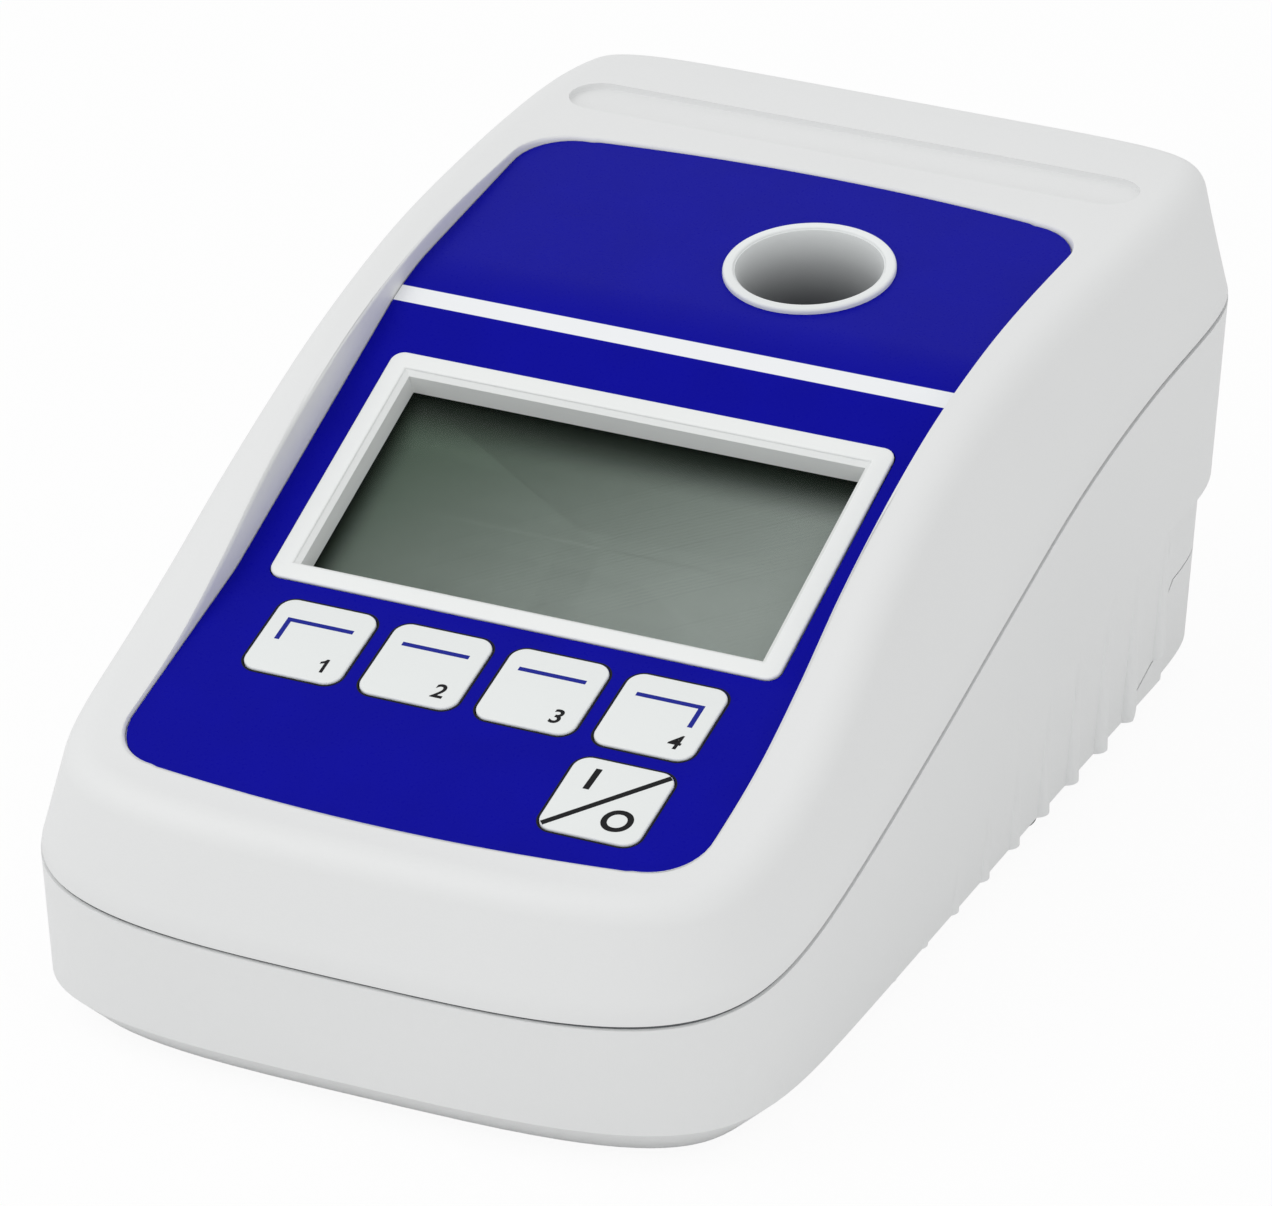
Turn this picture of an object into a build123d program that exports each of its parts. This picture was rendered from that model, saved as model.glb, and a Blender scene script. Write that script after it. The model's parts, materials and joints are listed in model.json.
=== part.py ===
from build123d import *
import os
from math import atan2, cos, degrees, pi, radians, sin, tan

# Compact bench photometer: two moulded shells that meet on a rising seam, a recessed control panel with
# a display and five keys, a well for a round cell over a measuring block, and four AA cells behind a door.
# Frame: +X to the user's right, +Y to the rear, +Z up, origin on the table under the middle of the body.

# Overall size at the seam, where the body is widest
body_width = 91.6
body_length = 152.4
foot_stand_off = 1.0
wall = 2.4

# Plan outline: how square the front and rear corners are, across and along
front_squareness = (3.4, 10.0)
rear_squareness = (7.0, 12.0)

# Side walls lean in from the seam, this much per millimetre of height
upper_lean = 0.27
upper_rear_lean = 0.12
lower_lean = 0.06

# Seam and rim heights along the body, front to rear
seam_profile = [(-78, 17.4), (-60, 20.6), (-40, 25.5), (-20, 31.3), (0, 37.6), (20, 43.4), (40, 46.7),
                (60, 47.7), (80, 47.8)]
rim_profile = [(-78, 31.2), (-66, 31.9), (-55, 34.4), (-45, 37.7), (-35, 42.6), (-25, 48.3), (-15, 53.0),
               (-5, 56.8), (5, 59.5), (20, 61.9), (40, 63.0), (60, 63.4), (80, 63.3)]
rim_radius = 4.0
bottom_chamfer = 3.8
seam_gap = 0.4
seal_inset = 0.5

# Lip that locates the two shells
lip_height = 1.4
lip_thickness = 1.1
lip_clearance = 0.15

# Control panel film in its recess
panel_width = 70.4
panel_front = -66.0
panel_rear = 48.0
panel_bow = 2.6
panel_corner = 7.0
panel_front_height = 31.04
film_thickness = 0.4
film_clearance = 0.15
panel_floor = 2.2
key_slope = 15.56
display_slope = 22.87
well_slope = 6.4
lower_break = -32.2
upper_break = 11.2
lower_blend = 30.0
upper_blend = 40.0

# Keys
key_size = 12.0
key_pitch = 14.26
key_corner = 1.9
key_row_y = -41.0
key_proud = 0.25
key_travel = 0.4
key_clearance = 0.2
key_flange = 0.8
key_flange_thickness = 0.8
key_stem_diameter = 4.5
key_stem_length = 0.6
dome_diameter = 8.0
dome_height = 0.7
dome_gap = 0.1

# Keypad board under the keys
board_thickness = 1.6
board_width = 57.0
board_front_edge = -23.5
board_rear_edge = 7.2
standoff_diameter = 4.6
board_screw_diameter = 2.0

ribbon_width = 16.0
ribbon_thickness = 0.3
ribbon_overlap = 3.0

# Display
frame_width = 62.5
frame_height = 35.5
frame_border = 2.9
frame_proud = 0.35
frame_corner = 1.6
frame_neck_clearance = 0.2
frame_neck_inset = 1.9
frame_neck_depth = 0.5
frame_bevel = 0.5
window_thickness = 1.0
window_margin = 1.2
lcd_thickness = 2.2
zebra_width = 2.0
zebra_height = 2.5
lcd_board_margin = 4.5

# Cell well, for a round cell of 16 mm
well_x = 8.0
well_y = 27.75
collar_diameter = 20.0
collar_proud = 0.7
collar_neck_diameter = 18.9
collar_mouth_diameter = 17.4
bore_diameter = 16.6
collar_length = 14.0
collar_clearance = 0.2
well_depth = 36.0

# Measuring block and what it carries, along the light path
block_width = 36.0
block_length = 28.0
block_y = 30.0
light_path_depth = 24.0
light_path_diameter = 4.0
optics_start = 10.6
lens_diameter = 6.0
lens_thickness = 2.0
filter_diameter = 8.0
filter_thickness = 2.4
lamp_diameter = 5.0
sensor_diameter = 8.2
sensor_thickness = 3.6
optics_clearance = 0.05
optics_spacing = 0.1
small_board_width = 16.0
small_board_height = 14.0
spring_thickness = 0.3
spring_width = 5.0
spring_length = 15.0
spring_slot_depth = 1.2
seal_width = 2.5
seal_height = 3.0
ear_width = 12.0
ear_length = 8.0
ear_thickness = 3.0
post_height = 6.0

# Shell screws
screw_diameter = 3.0
screw_clearance = 0.2
screw_head_diameter = 5.6
screw_head_height = 2.2
boss_diameter = 7.0
insert_diameter = 4.2
insert_length = 5.0
front_screw = (34.0, -57.0)
rear_screw = (37.0, 30.0)
screw_seat_height = 8.0

# Feet
foot_diameter = 9.0
foot_recess = 1.0
front_foot = (33.5, -44.0)
rear_foot = (36.0, 20.0)

# Battery bay: four AA cells side by side, lying fore and aft
cell_diameter = 14.2
cell_length = 49.2
cell_button_diameter = 5.5
cell_button_length = 1.0
cell_pitch = 15.0
cell_count = 4
cell_clearance = 0.3
bay_wall = 1.8
bay_front = 11.0
contact_thickness = 0.4
contact_reach = 4.2

# Battery door: wraps the lower rear corner and reaches forward under the cells
door_gap = 0.25
door_front = 15.0
door_tongue_width = 62.0
door_side_start = 34.0
door_side_top = 15.6
door_side_rear = 56.5
door_hook_length = 1.8
door_hook_width = 3.0
door_hook_thickness = 1.2
door_travel = 12.0

# Grip ribs on both sides
rib_count = 10
rib_pitch = 8.7
rib_first = -29.0
rib_radius = 1.5
rib_crest_inset = 1.35

# Recess across the rear top
top_recess_length = 72.6
top_recess_width = 7.8
top_recess_depth = 0.8
top_recess_y = 57.4

# Rear corner step above the door
step_depth = 1.3
step_height = 25.0
step_start = 51.5

outline_steps = 72
profile_steps = 26
half_length = body_length / 2
half_width = body_width / 2
base_height = foot_stand_off
floor_top = base_height + wall
reach = half_length + 4.0
sky = 90.0
loft_low = 10.0
loft_high = 66.0


# Height of a profile at y: a smooth curve through its points
def profile_height(profile, y):
    y = min(max(y, profile[0][0]), profile[-1][0])
    slopes = []
    last = len(profile) - 1
    for i in range(last + 1):
        a, b = max(i - 1, 0), min(i + 1, last)
        slopes.append((profile[b][1] - profile[a][1]) / (profile[b][0] - profile[a][0]))
    i = 0
    while i < last - 1 and y > profile[i + 1][0]:
        i += 1
    span = profile[i + 1][0] - profile[i][0]
    t = (y - profile[i][0]) / span
    start = (2 * t**3 - 3 * t**2 + 1) * profile[i][1] + (t**3 - 2 * t**2 + t) * span * slopes[i]
    end = (-2 * t**3 + 3 * t**2) * profile[i + 1][1] + (t**3 - t**2) * span * slopes[i + 1]
    return start + end


def seam_height(y):
    return profile_height(seam_profile, y)


def rim_height(y):
    return profile_height(rim_profile, y)


# Height of the control panel's face: three flats
def panel_height(y):
    front = panel_front_height + (y - panel_front) * tan(radians(key_slope))
    first = panel_front_height + (lower_break - panel_front) * tan(radians(key_slope))
    middle = first + (y - lower_break) * tan(radians(display_slope))
    second = first + (upper_break - lower_break) * tan(radians(display_slope))
    rear = second + (y - upper_break) * tan(radians(well_slope))
    if y < lower_break:
        return front
    if y < upper_break:
        return middle
    return rear


# Plan outline at the seam: points and outward directions, round the body
def outline_points():
    points = []
    for i in range(outline_steps):
        angle = 2 * pi * i / outline_steps
        across, along = cos(angle), sin(angle)
        p, q = rear_squareness if along > 0 else front_squareness
        low, high = 0.0, body_length
        for _ in range(50):
            r = (low + high) / 2
            inside = (r * abs(across) / half_width)**p + (r * abs(along) / half_length)**q < 1
            low, high = (r, high) if inside else (low, r)
        x, y = r * across, r * along
        nx = p * (abs(x) / half_width)**(p - 1) / half_width * (1 if x > 0 else -1)
        ny = q * (abs(y) / half_length)**(q - 1) / half_length * (1 if y > 0 else -1)
        size = (nx**2 + ny**2)**0.5
        points.append((x, y, nx / size, ny / size))
    return points


OUTLINE = outline_points()


# One level section of the walls. The upper walls lean in above the seam, the lower ones below it.
def wall_section(height, upper, inset):
    corners = []
    for x, y, nx, ny in OUTLINE:
        rise = height - seam_height(y)
        rear_share = max(ny, 0.0)**2
        if upper:
            offset = -rise * (upper_lean + (upper_rear_lean - upper_lean) * rear_share)
        else:
            offset = rise * lower_lean
        corners.append(Vector(x + nx * (offset - inset), y + ny * (offset - inset), height))
    steps = [i / outline_steps for i in range(outline_steps + 1)]
    return Wire([Edge.make_spline(corners, periodic=True, parameters=steps)])


def wall_block(low, high, upper, inset=0.0):
    return Solid.make_loft([wall_section(low, upper, inset), wall_section(high, upper, inset)], ruled=True)


# Slab across the whole width between two height curves
def slab(bottom, top):
    ys = [-reach + 2 * reach * i / profile_steps for i in range(profile_steps + 1)]
    low = Edge.make_spline([Vector(-body_width, y, bottom(y)) for y in ys])
    high = Edge.make_spline([Vector(-body_width, y, top(y)) for y in ys])
    ends = [Edge.make_line(low @ 1, high @ 1), Edge.make_line(low @ 0, high @ 0)]
    return extrude(Face(Wire([low, high] + ends)), amount=2 * body_width, dir=(1, 0, 0))


# Everything over the control panel's face, lowered by a depth
def above_panel(depth, roof=sky, ceiling=None):
    first = (lower_break, panel_height(lower_break) - depth)
    second = (upper_break, panel_height(upper_break) - depth)
    points = [(-reach, panel_height(-reach) - depth), first, second]
    if ceiling is not None:
        flat = upper_break + (ceiling - second[1]) / tan(radians(well_slope))
        points += [(flat, ceiling), (reach, ceiling)]
        radii = [lower_blend, upper_blend, upper_blend]
    else:
        points += [(reach, panel_height(reach) - depth)]
        radii = [lower_blend, upper_blend]
    face_line = FilletPolyline(*points, radius=radii)
    rest = Polyline(points[-1], (reach, roof), (-reach, roof), points[0])
    profile = Plane.YZ * make_face(Curve() + face_line + rest)
    return extrude(profile, amount=body_width, both=True)


# Frames on the panel's three flats
def panel_plane(x, y, slope):
    normal = (0, -sin(radians(slope)), cos(radians(slope)))
    return Plane(origin=(x, y, panel_height(y)), x_dir=(1, 0, 0), z_dir=normal)


display_y = lower_break + (frame_height / 2 - 0.2) * cos(radians(display_slope))
KEY_PLANE = panel_plane(0, key_row_y, key_slope)
DISPLAY_PLANE = panel_plane(0, display_y, display_slope)
WELL_PLANE = panel_plane(well_x, well_y, well_slope)
key_places = {f"key_{i + 1}": ((i - 1.5) * key_pitch, 0.0) for i in range(4)}
key_places["power_key"] = (1.5 * key_pitch, -key_pitch)
standoff_places = [(-24.0, -12.5), (7.5, -12.5), (-24.0, -20.0), (7.5, -20.0)]


def on(plane, x, y, z, shape):
    return plane * Pos(x, y, z) * shape


def rounded_bar(width, height, depth, radius):
    return extrude(RectangleRounded(width, height, radius), amount=depth)


def rod(diameter, length):
    return extrude(Circle(diameter / 2), amount=length)


def screw_places():
    return [(sx * x, y) for x, y in (front_screw, rear_screw) for sx in (-1, 1)]


def foot_places():
    return [(sx * x, y) for x, y in (front_foot, rear_foot) for sx in (-1, 1)]


# Plan of the control panel, with bowed ends and rounded corners
def panel_plan(inset):
    w = panel_width / 2 - inset
    front, rear = panel_front + inset, panel_rear - inset
    low = ThreePointArc((-w, front + panel_bow), (0, front), (w, front + panel_bow))
    high = ThreePointArc((-w, rear - panel_bow), (0, rear), (w, rear - panel_bow))
    face = make_face(Curve() + low + high + Line(low @ 0, high @ 0) + Line(low @ 1, high @ 1))
    return extrude(fillet(face.vertices(), panel_corner - inset), amount=sky)


# Display frame, window, glass, contact strips and board, down from the panel's face
frame_seat = film_thickness * cos(radians(display_slope))
frame_depth = frame_seat + panel_floor + frame_neck_depth
window_size = (frame_width - 2 * frame_border + 2 * window_margin, frame_height - 2 * frame_border
               + 2 * window_margin)
lcd_top = frame_depth + window_thickness
zebra_top = lcd_top + lcd_thickness
lcd_board_top = zebra_top + zebra_height
lcd_board_size = (window_size[0] + lcd_board_margin, window_size[1] + lcd_board_margin)


def display_frame():
    seat_height = frame_proud + frame_seat
    flange = on(DISPLAY_PLANE, 0, 0, -frame_seat, rounded_bar(frame_width, frame_height, seat_height,
                                                              frame_corner))
    neck_size = (frame_width - 2 * frame_neck_inset, frame_height - 2 * frame_neck_inset)
    neck = on(DISPLAY_PLANE, 0, 0, -frame_depth, rounded_bar(*neck_size, frame_depth - frame_seat, 0.6))
    sight = (frame_width - 2 * frame_border, frame_height - 2 * frame_border)
    hole = on(DISPLAY_PLANE, 0, 0, -frame_depth, rounded_bar(*sight, frame_depth + frame_proud, 0.4))
    mouth = Plane.XY * RectangleRounded(sight[0] + 2 * frame_bevel, sight[1] + 2 * frame_bevel, 0.6)
    throat = Pos(0, 0, -frame_bevel) * RectangleRounded(*sight, 0.4)
    bevel = on(DISPLAY_PLANE, 0, 0, frame_proud, loft([throat, mouth]))
    return flange + neck - hole - bevel


def display_window():
    return on(DISPLAY_PLANE, 0, 0, -lcd_top, rounded_bar(*window_size, window_thickness, 0.8))


def lcd_glass():
    return on(DISPLAY_PLANE, 0, 0, -zebra_top, rounded_bar(*window_size, lcd_thickness, 0.3))


def zebra_strips():
    strips = []
    for side in (-1, 1):
        y = side * (window_size[1] - zebra_width) / 2
        strip = Pos(0, y, 0) * extrude(Rectangle(window_size[0] - 2.0, zebra_width), amount=zebra_height)
        strips.append(on(DISPLAY_PLANE, 0, 0, -lcd_board_top, strip))
    return Compound(strips)


def lcd_board():
    return on(DISPLAY_PLANE, 0, 0, -lcd_board_top - board_thickness,
              rounded_bar(*lcd_board_size, board_thickness, 1.0))


# Wall round the display stack, moulded under the panel, that the board closes
def display_well():
    outer = (lcd_board_size[0], lcd_board_size[1])
    inner = (window_size[0] + 0.4, window_size[1] + 0.4)
    height = lcd_board_top - frame_seat
    ring = rounded_bar(*outer, height, 1.0) - rounded_bar(*inner, height, 0.9)
    return on(DISPLAY_PLANE, 0, 0, -lcd_board_top, ring)


# Keys: cap, retaining flange under the floor, and stem over the dome
floor_under = (film_thickness + panel_floor) * cos(radians(key_slope))
board_top = floor_under + key_flange_thickness + key_stem_length + key_travel + dome_gap + dome_height


def key(name):
    x, y = key_places[name]
    cap = rounded_bar(key_size, key_size, floor_under + key_proud, key_corner)
    cap = on(KEY_PLANE, x, y, -floor_under, fillet(cap.edges().group_by(Axis.Z)[-1], 0.15))
    wide = key_size + 2 * key_flange
    flange = on(KEY_PLANE, x, y, -floor_under - key_flange_thickness,
                rounded_bar(wide, key_size + key_flange, key_flange_thickness, key_corner))
    stem = on(KEY_PLANE, x, y, -floor_under - key_flange_thickness - key_stem_length,
              rod(key_stem_diameter, key_stem_length))
    return cap + flange + stem


def key_openings(clearance, depth):
    side = key_size + 2 * clearance
    cuts = [on(KEY_PLANE, x, y, -depth, rounded_bar(side, side, depth + 5, key_corner + clearance))
            for x, y in key_places.values()]
    return cuts


# Snap domes on one carrier sheet, on the keypad board
def key_domes():
    sheet_thickness = 0.15
    length = board_rear_edge - board_front_edge
    sheet = Pos(0, (board_rear_edge + board_front_edge) / 2, 0) * rounded_bar(
        board_width - 2, length - 2, sheet_thickness, 1.0)
    for x, y in standoff_places:
        sheet = sheet - Pos(x, y, 0) * rod(standoff_diameter + 0.6, sheet_thickness)
    radius = ((dome_diameter / 2)**2 + dome_height**2) / (2 * dome_height)
    for x, y in key_places.values():
        cap = Sphere(radius) & Pos(0, 0, radius) * Box(2 * radius, 2 * radius, 2 * dome_height)
        sheet = sheet + Pos(x, y, dome_height - radius) * cap
    sheet = sheet & Pos(0, 0, dome_height) * Box(2 * board_width, 4 * length, 2 * dome_height)
    return on(KEY_PLANE, 0, 0, -board_top, sheet)


def keypad_board():
    length = board_rear_edge - board_front_edge
    board = Pos(0, (board_rear_edge + board_front_edge) / 2, 0) * rounded_bar(
        board_width, length, board_thickness, 1.5)
    for x, y in standoff_places:
        board = board - Pos(x, y, 0) * rod(board_screw_diameter + 0.3, board_thickness)
    return on(KEY_PLANE, 0, 0, -board_top - board_thickness, board)


def board_screws():
    screws = []
    for x, y in standoff_places:
        head = Pos(0, 0, -1.3) * rod(2 * board_screw_diameter, 1.3)
        shank = rod(board_screw_diameter, board_thickness + 3)
        drive = Pos(0, 0, -1.3) * (Box(2.2, 0.5, 1.2) + Box(0.5, 2.2, 1.2))
        screws.append(on(KEY_PLANE, x, y, -board_top - board_thickness, head + shank - drive))
    return Compound(screws)


# Chips under the keypad board
def board_chips():
    places = [(-3, -4, 9.0, 9.0, 1.4), (-16, 1, 7.0, 6.0, 1.2), (15, 0, 6.0, 5.0, 1.6), (20, -16, 9.0, 5.0, 2.2)]
    chips = [on(KEY_PLANE, x, y, -board_top - board_thickness - h, rounded_bar(w, d, h, 0.3))
             for x, y, w, d, h in places]
    return Compound(chips)


# Ribbon from the keypad board to the display board
def ribbon_cable():
    start = KEY_PLANE.from_local_coords(Vector(0, board_rear_edge, -board_top - board_thickness))
    end = DISPLAY_PLANE.from_local_coords(Vector(0, -lcd_board_size[1] / 2, -lcd_board_top - board_thickness))
    up_key = (cos(radians(key_slope)), sin(radians(key_slope)))
    up_display = (cos(radians(display_slope)), sin(radians(display_slope)))
    tail = (start.Y - ribbon_overlap * up_key[0], start.Z - ribbon_overlap * up_key[1])
    head = (end.Y + ribbon_overlap * up_display[0], end.Z + ribbon_overlap * up_display[1])
    upper = Polyline(tail, (start.Y, start.Z), (end.Y, end.Z), head)
    lower = Polyline(*[(p[0] + sin(radians(display_slope)) * ribbon_thickness,
                        p[1] - cos(radians(display_slope)) * ribbon_thickness)
                       for p in (tail, (start.Y, start.Z), (end.Y, end.Z), head)])
    face = make_face(Curve() + upper + lower + Line(upper @ 0, lower @ 0) + Line(upper @ 1, lower @ 1))
    return extrude(Plane.YZ * face, amount=ribbon_width / 2, both=True)


# White collar that lines the mouth of the cell well
def well_collar():
    flange_under = film_thickness
    flange = on(WELL_PLANE, 0, 0, 0, rod(collar_diameter, collar_proud))
    flange = fillet(flange.edges().group_by(Axis.Z)[-1], 0.3)
    neck = on(WELL_PLANE, 0, 0, -collar_length, rod(collar_neck_diameter, collar_length))
    bore = on(WELL_PLANE, 0, 0, -collar_length, rod(bore_diameter, collar_length + collar_proud))
    taper = on(WELL_PLANE, 0, 0, -4.0, Solid.make_cone(bore_diameter / 2, collar_mouth_diameter / 2, 4.0
                                                       + collar_proud))
    return flange + neck - bore - taper


# Black block that holds the cell, the lamp and the sensor; it stands on the roof of the battery bay
cell_bottom = floor_top + cell_clearance
bay_ceiling = cell_bottom + cell_diameter + cell_clearance
bay_roof = bay_ceiling + bay_wall
bay_inner_width = cell_count * cell_pitch + 1.5
bay_back = bay_front + bay_wall + 2 * contact_thickness + contact_reach + cell_length + cell_button_length
light_origin = WELL_PLANE.from_local_coords(Vector(0, 0, -light_path_depth))
ear_places = [(well_x, block_y - block_length / 2 - ear_length / 2 + 0.5),
              (well_x, block_y + block_length / 2 + ear_length / 2 - 0.5)]


def across_rod(start, length, diameter):
    frame = Plane(origin=(light_origin.X + start, light_origin.Y, light_origin.Z), x_dir=(0, 1, 0),
                  z_dir=(1, 0, 0))
    return frame * rod(diameter, length)


def optics_block():
    height = WELL_PLANE.origin.Z - bay_roof
    block = Pos(well_x, block_y, bay_roof) * rounded_bar(block_width, block_length, height, 2.0)
    above = on(WELL_PLANE, 0, 0, -collar_length, extrude(Rectangle(3 * block_width, 3 * block_length),
                                                         amount=height))
    block = block - above
    for x, y in ear_places:
        ear = Pos(x, y, bay_roof + post_height) * rounded_bar(ear_width, ear_length, ear_thickness, 1.0)
        block = block + ear
        block = block - Pos(x, y, bay_roof) * rod(screw_diameter + 2 * screw_clearance, sky)
    block = block - on(WELL_PLANE, 0, 0, -well_depth, rod(bore_diameter, well_depth))
    half = block_width / 2
    block = block - across_rod(-half, block_width, light_path_diameter)
    left_pocket = half - optics_start
    fit = 2 * optics_clearance
    block = block - across_rod(-half, left_pocket, lens_diameter + fit)
    block = block - across_rod(optics_start, half - optics_start, filter_diameter + fit)
    block = block - across_rod(optics_start + filter_thickness, half - optics_start - filter_thickness,
                               sensor_diameter + fit)
    slot = on(WELL_PLANE, 0, bore_diameter / 2, -light_path_depth - spring_length / 2 - 0.5,
              Box(spring_width + 0.4, 2 * spring_slot_depth, spring_length + 1,
                  align=(Align.CENTER, Align.CENTER, Align.MIN)))
    return block - slot


def cell_spring():
    leaf = Box(spring_width, spring_thickness, spring_length, align=(Align.CENTER, Align.MAX, Align.MIN))
    foot = Pos(0, 0, 0) * Box(spring_width, spring_slot_depth - 0.5, spring_thickness,
                              align=(Align.CENTER, Align.MAX, Align.MIN))
    seat = bore_diameter / 2 + spring_slot_depth
    return on(WELL_PLANE, 0, seat, -light_path_depth - spring_length / 2, leaf + foot)


def lens():
    disc = across_rod(-optics_start - lens_thickness, lens_thickness, lens_diameter)
    return disc


def measuring_lamp():
    start = -block_width / 2
    length = block_width / 2 - optics_start - lens_thickness - optics_spacing
    body = across_rod(start, length - lamp_diameter / 2, lamp_diameter)
    tip = Pos(light_origin.X + start + length - lamp_diameter / 2, light_origin.Y, light_origin.Z) * Sphere(
        lamp_diameter / 2)
    rim = across_rod(start, 1.0, lens_diameter - 0.1)
    return body + tip + rim


def light_filter():
    return across_rod(optics_start, filter_thickness, filter_diameter)


def light_sensor():
    start = optics_start + filter_thickness + optics_spacing
    return across_rod(start, block_width / 2 - start, sensor_diameter)


def small_board(side):
    start = side * block_width / 2 + (0 if side > 0 else -board_thickness)
    plate = Box(board_thickness, small_board_width, small_board_height, align=(Align.MIN, Align.CENTER,
                                                                               Align.CENTER))
    return Pos(light_origin.X + start, light_origin.Y, light_origin.Z) * plate


def light_seal():
    outer = collar_neck_diameter + 2 * collar_clearance + 2 * seal_width
    ring = rod(outer, seal_height) - rod(collar_neck_diameter + 2 * collar_clearance, seal_height)
    return on(WELL_PLANE, 0, 0, -collar_length, ring)


def optics_screws():
    screws = []
    for x, y in ear_places:
        top = bay_roof + post_height + ear_thickness
        head = Pos(x, y, top) * (rod(screw_head_diameter, screw_head_height) - Pos(0, 0, 1.0) * cross_drive())
        screws.append(head + Pos(x, y, bay_roof + 1.5) * rod(screw_diameter - 0.4, top - bay_roof - 1.5))
    return Compound(screws)


def cross_drive():
    long = 0.6 * screw_head_diameter
    bars = Box(long, 0.8, screw_head_height) + Box(0.8, long, screw_head_height)
    return Pos(0, 0, screw_head_height / 2) * bars


# Upper shell
rim_top = rim_height(top_recess_y)
upper_ceiling = rim_top - wall


def upper_walls(inset):
    return wall_block(loft_low, loft_high, True, inset)


def upper_housing():
    body = upper_walls(0) & slab(lambda y: seam_height(y) + seam_gap / 2, rim_height)
    top = max(body.faces(), key=lambda f: f.area if f.normal_at(f.center()).Z > 0.6 else 0)
    body = fillet(top.outer_wire().edges(), rim_radius)
    body = body - (upper_walls(wall) - above_panel(film_thickness + panel_floor, sky, upper_ceiling))
    rebate = upper_walls(wall - lip_thickness - lip_clearance)
    rebate = rebate & slab(lambda y: seam_height(y) - wall, lambda y: seam_height(y) + lip_height + lip_clearance)
    body = body - rebate
    body = body - (panel_plan(0) & above_panel(film_thickness))
    stadium = extrude(SlotOverall(top_recess_length, top_recess_width), amount=rim_radius)
    body = body - Pos(0, top_recess_y, rim_top - top_recess_depth) * stadium
    for x, y in screw_places():
        column = Pos(x, y, seam_height(y)) * rod(boss_diameter, sky - seam_height(y))
        column = column - above_panel(film_thickness + panel_floor - 0.5, 1.5 * sky, upper_ceiling + 0.5)
        pilot = Pos(x, y, seam_height(y)) * (rod(insert_diameter, insert_length) + rod(screw_diameter - 0.4, 8.0))
        body = body + column - pilot
    for x, y in standoff_places:
        post = on(KEY_PLANE, x, y, -board_top, rod(standoff_diameter, board_top - film_thickness - 0.5))
        body = body + post - on(KEY_PLANE, x, y, -board_top - 1, rod(board_screw_diameter + 0.05, 4.2))
    body = body + display_well()
    neck = (frame_width - 2 * frame_neck_inset + 2 * frame_neck_clearance,
            frame_height - 2 * frame_neck_inset + 2 * frame_neck_clearance)
    body = body - on(DISPLAY_PLANE, 0, 0, -frame_depth, rounded_bar(*neck, frame_depth + 1, 0.8))
    seat = (frame_width + 2 * film_clearance, frame_height + 2 * film_clearance)
    body = body - on(DISPLAY_PLANE, 0, 0, -frame_seat, rounded_bar(*seat, 1.0, frame_corner + film_clearance))
    for cut in key_openings(key_clearance, floor_under + 0.1):
        body = body - cut
    hole = collar_neck_diameter + 2 * collar_clearance
    return body - on(WELL_PLANE, 0, 0, -collar_length + seal_height, rod(hole, collar_length))


def control_panel():
    film = (panel_plan(film_clearance) & above_panel(film_thickness)) - above_panel(0)
    window = rounded_bar(frame_width + 2 * film_clearance, frame_height + 2 * film_clearance, 10,
                         frame_corner + film_clearance)
    film = film - on(DISPLAY_PLANE, 0, 0, -5, window)
    for cut in key_openings(key_clearance, 3.0):
        film = film - cut
    return film - on(WELL_PLANE, 0, 0, -5, rod(collar_neck_diameter + 2 * collar_clearance, 10))


# Dark seal that fills the seam between the shells
def housing_seal():
    band = slab(lambda y: seam_height(y) - seam_gap / 2, lambda y: seam_height(y) + seam_gap / 2)
    return (upper_walls(seal_inset) & band) - upper_walls(wall - lip_thickness - lip_clearance)


# Lower shell: tapered walls on a chamfered base
def lower_block(inset):
    base = base_height + inset
    foot = bottom_chamfer
    sections = [wall_section(base, False, inset + foot), wall_section(base + foot, False, inset),
                wall_section(75.0, False, inset)]
    return Solid.make_loft(sections, ruled=True)


def door_zone(gap, margin=0.0):
    points = [(door_side_start, -5), (door_side_start + 7, door_side_top * 0.4),
              (door_side_start + 15, door_side_top * 0.6), (door_side_rear, door_side_top), (reach + 9, door_side_top),
              (reach + 9, -5)]
    outline = Polyline(*[(y + gap, z - gap) for y, z in points], close=True)
    side = extrude(Plane.YZ * make_face(outline), amount=body_width, both=True)
    tongue_length = door_side_start + 8 - door_front
    tongue = Pos(0, door_front + gap, -5) * Box(door_tongue_width - 2 * gap, tongue_length, 5 + floor_top,
                                                align=(Align.CENTER, Align.MIN, Align.MIN))
    return side + tongue


# Shell skin with its locating lip: a plug on the seam, hollowed in one cut, with the step at the rear corners
def shell_skin():
    lip_plug = upper_walls(wall - lip_thickness) & slab(
        lambda y: seam_height(y) - seam_gap, lambda y: seam_height(y) + lip_height)
    skin = lower_block(0) & slab(lambda y: -5.0, lambda y: seam_height(y) - seam_gap / 2)
    skin = (skin + lip_plug) - lower_block(wall)
    zone = Pos(0, step_start, -5) * Box(2 * body_width, reach, step_height + 5,
                                        align=(Align.CENTER, Align.MIN, Align.MIN))
    return skin - (zone - wall_block(-6.0, 75.0, False, step_depth))


SHELL_SKIN = shell_skin()


def grip_ribs():
    ribs = []
    for i in range(rib_count):
        y = rib_first + i * rib_pitch
        for side in (-1, 1):
            x = side * (half_width - rib_crest_inset - rib_radius)
            ribs.append(Pos(x, y, base_height + bottom_chamfer) * rod(2 * rib_radius, seam_height(y)
                                                                      - base_height - bottom_chamfer - 2))
    return ribs


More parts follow.
